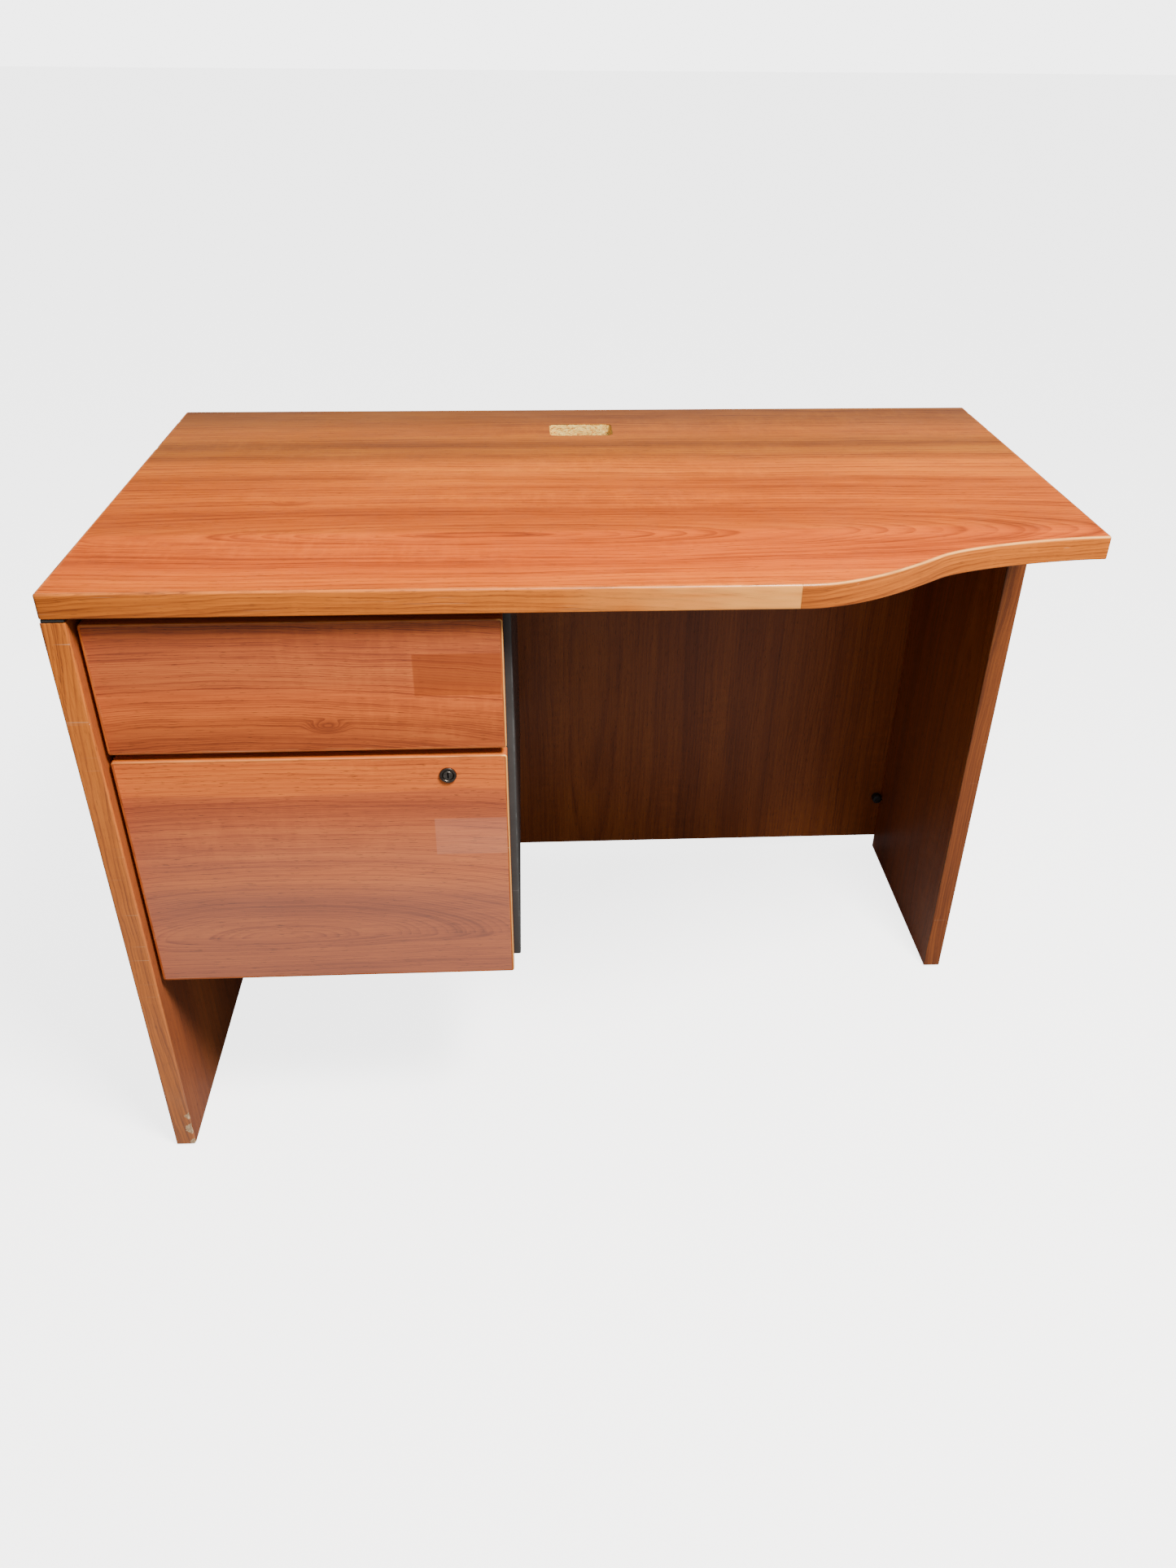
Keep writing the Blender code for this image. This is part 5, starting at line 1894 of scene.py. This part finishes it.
def drawer_box(drawer):
    """Two folded sides, a ribbed bottom and a back with a top flange."""
    body = f"{drawer}_drawer"
    half = CASE_SHEET / 2

    def box_piece(part, mesh, node):
        place_piece(f"{drawer}_box_{part}", mesh, drawer_enamel, body, [node])

    for side, inwards in (("left", 1), ("right", -1)):
        node = f"{body}_{side}_side"
        low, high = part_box(node)
        flange, mouth = (high.x, low.x) if inwards > 0 else (low.x, high.x)
        skin = mouth + inwards * HEM
        base, head = low.z + half, high.z - half
        fold = [(flange, base), (skin, base), (skin, head), (mouth, head)]
        box_piece(side, bent_sheet(node, fold, "Y", (low.y, high.y), CASE_SHEET, BOX_BEND), node)
    node = f"{body}_bottom"
    box_piece("bottom", ribbed_sheet(node, *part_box(node)), node)
    node = f"{body}_back"
    low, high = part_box(node)
    top, rear = high.z - half, high.y - half
    fold = [(high.y - BACK_FLANGE, top), (rear, top), (rear, low.z)]
    box_piece("back", bent_sheet(node, fold, "X", (low.x, high.x), CASE_SHEET, BOX_BEND), node)


drawer_box("upper")
drawer_box("lower")
for side in ("left", "right"):
    low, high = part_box(f"file_rail_{side}")
    mesh = board(f"hanging_rail_{side}", low, high, 0.0006)
    place_piece(f"hanging_rail_{side}", mesh, zinc_steel, "lower_drawer", [f"file_rail_{side}"])
print("drawer boxes done")

# %% [markdown]
# ## Drawer fronts
# A front is a board of its own, with a thin band on all four edges. The band is one swept loop with
# rounded corners, so its lip runs round the front as a thin bright line. The cream on that lip is a
# painted highlight all round, and it is stronger on the right, partly rubbed by hands that pull the drawer.


# %% Front boards and their bands
STOOD_UP = Matrix(((1, 0, 0, 0), (0, 0, -1, 0), (0, 1, 0, 0), (0, 0, 0, 1)))
FRONT_BAND = 0.0026
FRONT_LIP, BACK_LIP = 0.0016, 0.0008
FRONT_CORNER = 0.0030


def loop_round(left, low, right, high, radius):
    """A rectangle's outline with round corners, anticlockwise from its lower left."""
    centres = (
        (left + radius, low + radius), (right - radius, low + radius),
        (right - radius, high - radius), (left + radius, high - radius),
    )
    arcs = [arc(centre, radius, first) for centre, first in zip(centres, (180.0, 270.0, 0.0, 90.0))]
    line = []
    for corner, following in zip(arcs, arcs[1:] + arcs[:1]):
        line += corner + straight(corner[-1], following[0])[1:-1]
    return line


def drawer_front(drawer, finish, holes=()):
    """A front with its loop of band; it returns its two box corners."""
    body = f"{drawer}_drawer"
    low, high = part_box(f"{body}_front")
    line = loop_round(low.x, low.z, high.x, high.z, FRONT_CORNER)
    width = high.y - low.y
    name = f"{drawer}_front_edge"
    strip = swept_band(name, line, width, FRONT_BAND, front_band, FRONT_LIP, BACK_LIP, True)
    strip.transform(Matrix.Translation((0.0, high.y, 0.0)) @ STOOD_UP)

    # Painted highlight on the lip all round, stronger on the right where hands also rub it.
    def lip_cream(place, lip):
        at_right = 1.0 if place.x > high.x - FRONT_BAND * 1.2 else 0.0
        return min(1.0, 1.4 * lip) * (0.9 * at_right + 0.28)

    mark_band(strip, width, FRONT_LIP, lip_cream)
    place_piece(f"{drawer}_front_edge", strip, front_band, body)
    inset = FRONT_BAND + GLUE_LINE
    panel_low = (low.x + inset, low.y, low.z + inset)
    panel_high = (high.x - inset, high.y - 0.0002, high.z - inset)
    mesh = board(f"{drawer}_front_board", panel_low, panel_high, 0.0001, 1)
    if holes:
        mesh = carved(mesh, holes)
    place_piece(f"{drawer}_front_board", mesh, finish, body, [f"{body}_front"])
    return low, high


housing_low, housing_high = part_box("lock_housing")
LOCK_X = (housing_low.x + housing_high.x) / 2
LOCK_Z = (housing_low.z + housing_high.z) / 2
BORE_RADIUS = 0.0083
upper_low, upper_high = drawer_front("upper", upper_front_laminate)
FACE = upper_low.y
bore = drill(BORE_RADIUS, -0.01, 0.03, (LOCK_X, FACE, LOCK_Z), 48)
lower_low, lower_high = drawer_front("lower", lower_front_laminate, [bore])
print("fronts", round(upper_high.z - upper_low.z, 4), "and", round(lower_high.z - lower_low.z, 4), "high")

# %% [markdown]
# ## The cam lock
# One lock in the file drawer's front: a turned housing with a chamfered ring, a plug with a keyway that
# turns in it, a nut behind the front and a cam on the plug's end, which swings as the plug turns.


# %% Lock housing and its nut
BARREL, RING, PLUG_HOLE = 0.0080, 0.0090, 0.0058
THREADS, THREAD_FIRST, THREAD_ENDS = 16, 0.004, 0.006
THREAD_DEPTH, THREAD_HALF = 0.00035, 0.0006
LOCK_FACE = (LOCK_X, FACE, LOCK_Z)

nose = housing_low.y - FACE
tail = housing_high.y - FACE
housing_profile = [
    (PLUG_HOLE, nose + 0.0010), (0.0062, nose + 0.0003), (0.0066, nose), (0.0078, nose),
    (0.0086, nose + 0.0004), (RING, nose + 0.0011), (RING, -0.0003), (BARREL, -0.0003),
]
for i in range(THREADS):
    y = THREAD_FIRST + i * (tail - THREAD_ENDS) / THREADS
    root = (BARREL - THREAD_DEPTH, y + THREAD_HALF)
    housing_profile += [(BARREL, y), root, (BARREL, y + 2 * THREAD_HALF)]
housing_profile += [(BARREL, tail), (PLUG_HOLE, tail)]
mesh = turned("lock_body", housing_profile, LOCK_FACE, 64)
place_piece("lock_body", mesh, lock_metal, "lower_drawer", ["lock_housing"])

nut_low, nut_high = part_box("lock_nut")
hexagon = arc((LOCK_X, LOCK_Z), (nut_high.x - nut_low.x) / 2, 0.0, 360.0, 6)[:-1]
mesh = prism("lock_hexagon_nut", hexagon, "Y", (nut_low.y, nut_high.y))
mesh = carved(mesh, [drill(BORE_RADIUS, -0.01, 0.01, (LOCK_X, nut_low.y, LOCK_Z), 48)])
place_piece("lock_hexagon_nut", mesh, zinc_steel, "lower_drawer", ["lock_nut"])
print("lock ring", RING * 2000, "mm across")


# %% Plug and cam
PLUG_RADIUS = 0.0055
KEYWAY_DEPTH = 0.009
HUB_RADIUS, TIP_RADIUS = 0.0075, 0.005


def key_slot(name, left, right, low, high, radius, segments):
    """A cutter for the keyway, placed from the lock's axis and deep enough to look bottomless."""
    corner = (LOCK_X + left, FACE - 0.01, LOCK_Z + low)
    return board(name, corner, (LOCK_X + right, FACE + KEYWAY_DEPTH, LOCK_Z + high), radius, segments)


plug_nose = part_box("lock_plug")[0].y - FACE
plug_profile = [
    (0.0, plug_nose + 0.0003), (0.0034, plug_nose), (0.0049, plug_nose),
    (PLUG_RADIUS, plug_nose + 0.0006), (PLUG_RADIUS, tail), (0.0, tail),
]
mesh = turned("lock_cylinder", plug_profile, LOCK_FACE, 56)
keyway = key_slot("keyway", -0.0007, 0.0007, -0.0037, 0.0037, 0.0003, 2)
ward = key_slot("ward", -0.0011, 0.0002, 0.0006, 0.0016, 0.0002, 1)
mesh = carved(mesh, [keyway, ward])
place_piece("lock_cylinder", mesh, plug_metal, "lock_plug", ["lock_plug"])

cam_low, cam_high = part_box("lock_cam")
cam_line = arc((LOCK_X, LOCK_Z), HUB_RADIUS, -90.0, 180.0, 14)
cam_line += arc((cam_low.x + TIP_RADIUS, LOCK_Z), TIP_RADIUS, 90.0, 180.0, 14)
mesh = prism("lock_cam_plate", cam_line, "Y", (cam_low.y, cam_high.y))
place_piece("lock_cam_plate", mesh, zinc_steel, "lock_plug", ["lock_cam"])
spot = [((LOCK_X, cam_high.y, LOCK_Z), (0.0, 1.0, 0.0))]
mesh = studs("lock_cam_screw", screw_head.copy(), spot, zinc_steel)
place_piece("lock_cam_screw", mesh, zinc_steel, "lock_plug")
print("lock at", round(LOCK_X, 4), round(LOCK_Z, 4))

# %% Screws inside the drawers
BACK_SCREW_INSET = 0.020
for drawer in ("upper", "lower"):
    back_low, back_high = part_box(f"{drawer}_drawer_back")
    spots = [
        ((x, back_low.y, z), (0.0, -1.0, 0.0))
        for x in (back_low.x + BACK_SCREW_INSET, back_high.x - BACK_SCREW_INSET)
        for z in (back_low.z + BACK_SCREW_INSET, back_high.z - BACK_SCREW_INSET)
    ]
    mesh = studs(f"{drawer}_drawer_screws", screw_head.copy(), spots, zinc_steel)
    place_piece(f"{drawer}_drawer_screws", mesh, zinc_steel, f"{drawer}_drawer")
    print(drawer, "drawer screws", len(spots))
bpy.data.meshes.remove(screw_head)

# %% [markdown]
# ## The floor
# A plain pale floor, wide enough to fill every view. It isn't part of the desk. The camera sees it
# bright, but it passes on little light, as dark ground would, so that the desk's shaded sides stay deep.

# %% Floor
FLOOR_REACH = 40.0
FLOOR_STOPS = ((0.3, (0.82, 0.82, 0.82)), (0.7, (0.86, 0.86, 0.86)))
FLOOR_UNSEEN, FLOOR_MIRRORED = (0.13, 0.13, 0.13), (0.20, 0.20, 0.20)
FLOOR_GLOW = 3.4

floor_mesh = bpy.data.meshes.new("floor")
corners = [(x * FLOOR_REACH, y * FLOOR_REACH, 0.0) for x, y in ((-1, -1), (1, -1), (1, 1), (-1, 1))]
floor_mesh.from_pydata(corners, [], [(0, 1, 2, 3)])
floor = placed("floor", floor_mesh)
floor_finish, tree, sockets, place = material("pale_floor")
pale = ramp(tree, speckle(tree, place, 3.0, 4.0, 0.6, 0.0), FLOOR_STOPS)
path = put(tree, "ShaderNodeLightPath").outputs
dull = blend(tree, path["Is Glossy Ray"], FLOOR_UNSEEN, FLOOR_MIRRORED)
feed(tree, sockets["Base Color"], blend(tree, path["Is Camera Ray"], dull, pale))
feed(tree, sockets["Emission Strength"], maths(tree, "MULTIPLY", path["Is Camera Ray"], FLOOR_GLOW))
sockets["Emission Color"].default_value = WHITE
sockets["Roughness"].default_value = 0.9
floor_mesh.materials.append(floor_finish)
print("floor", 2 * FLOOR_REACH, "m across")
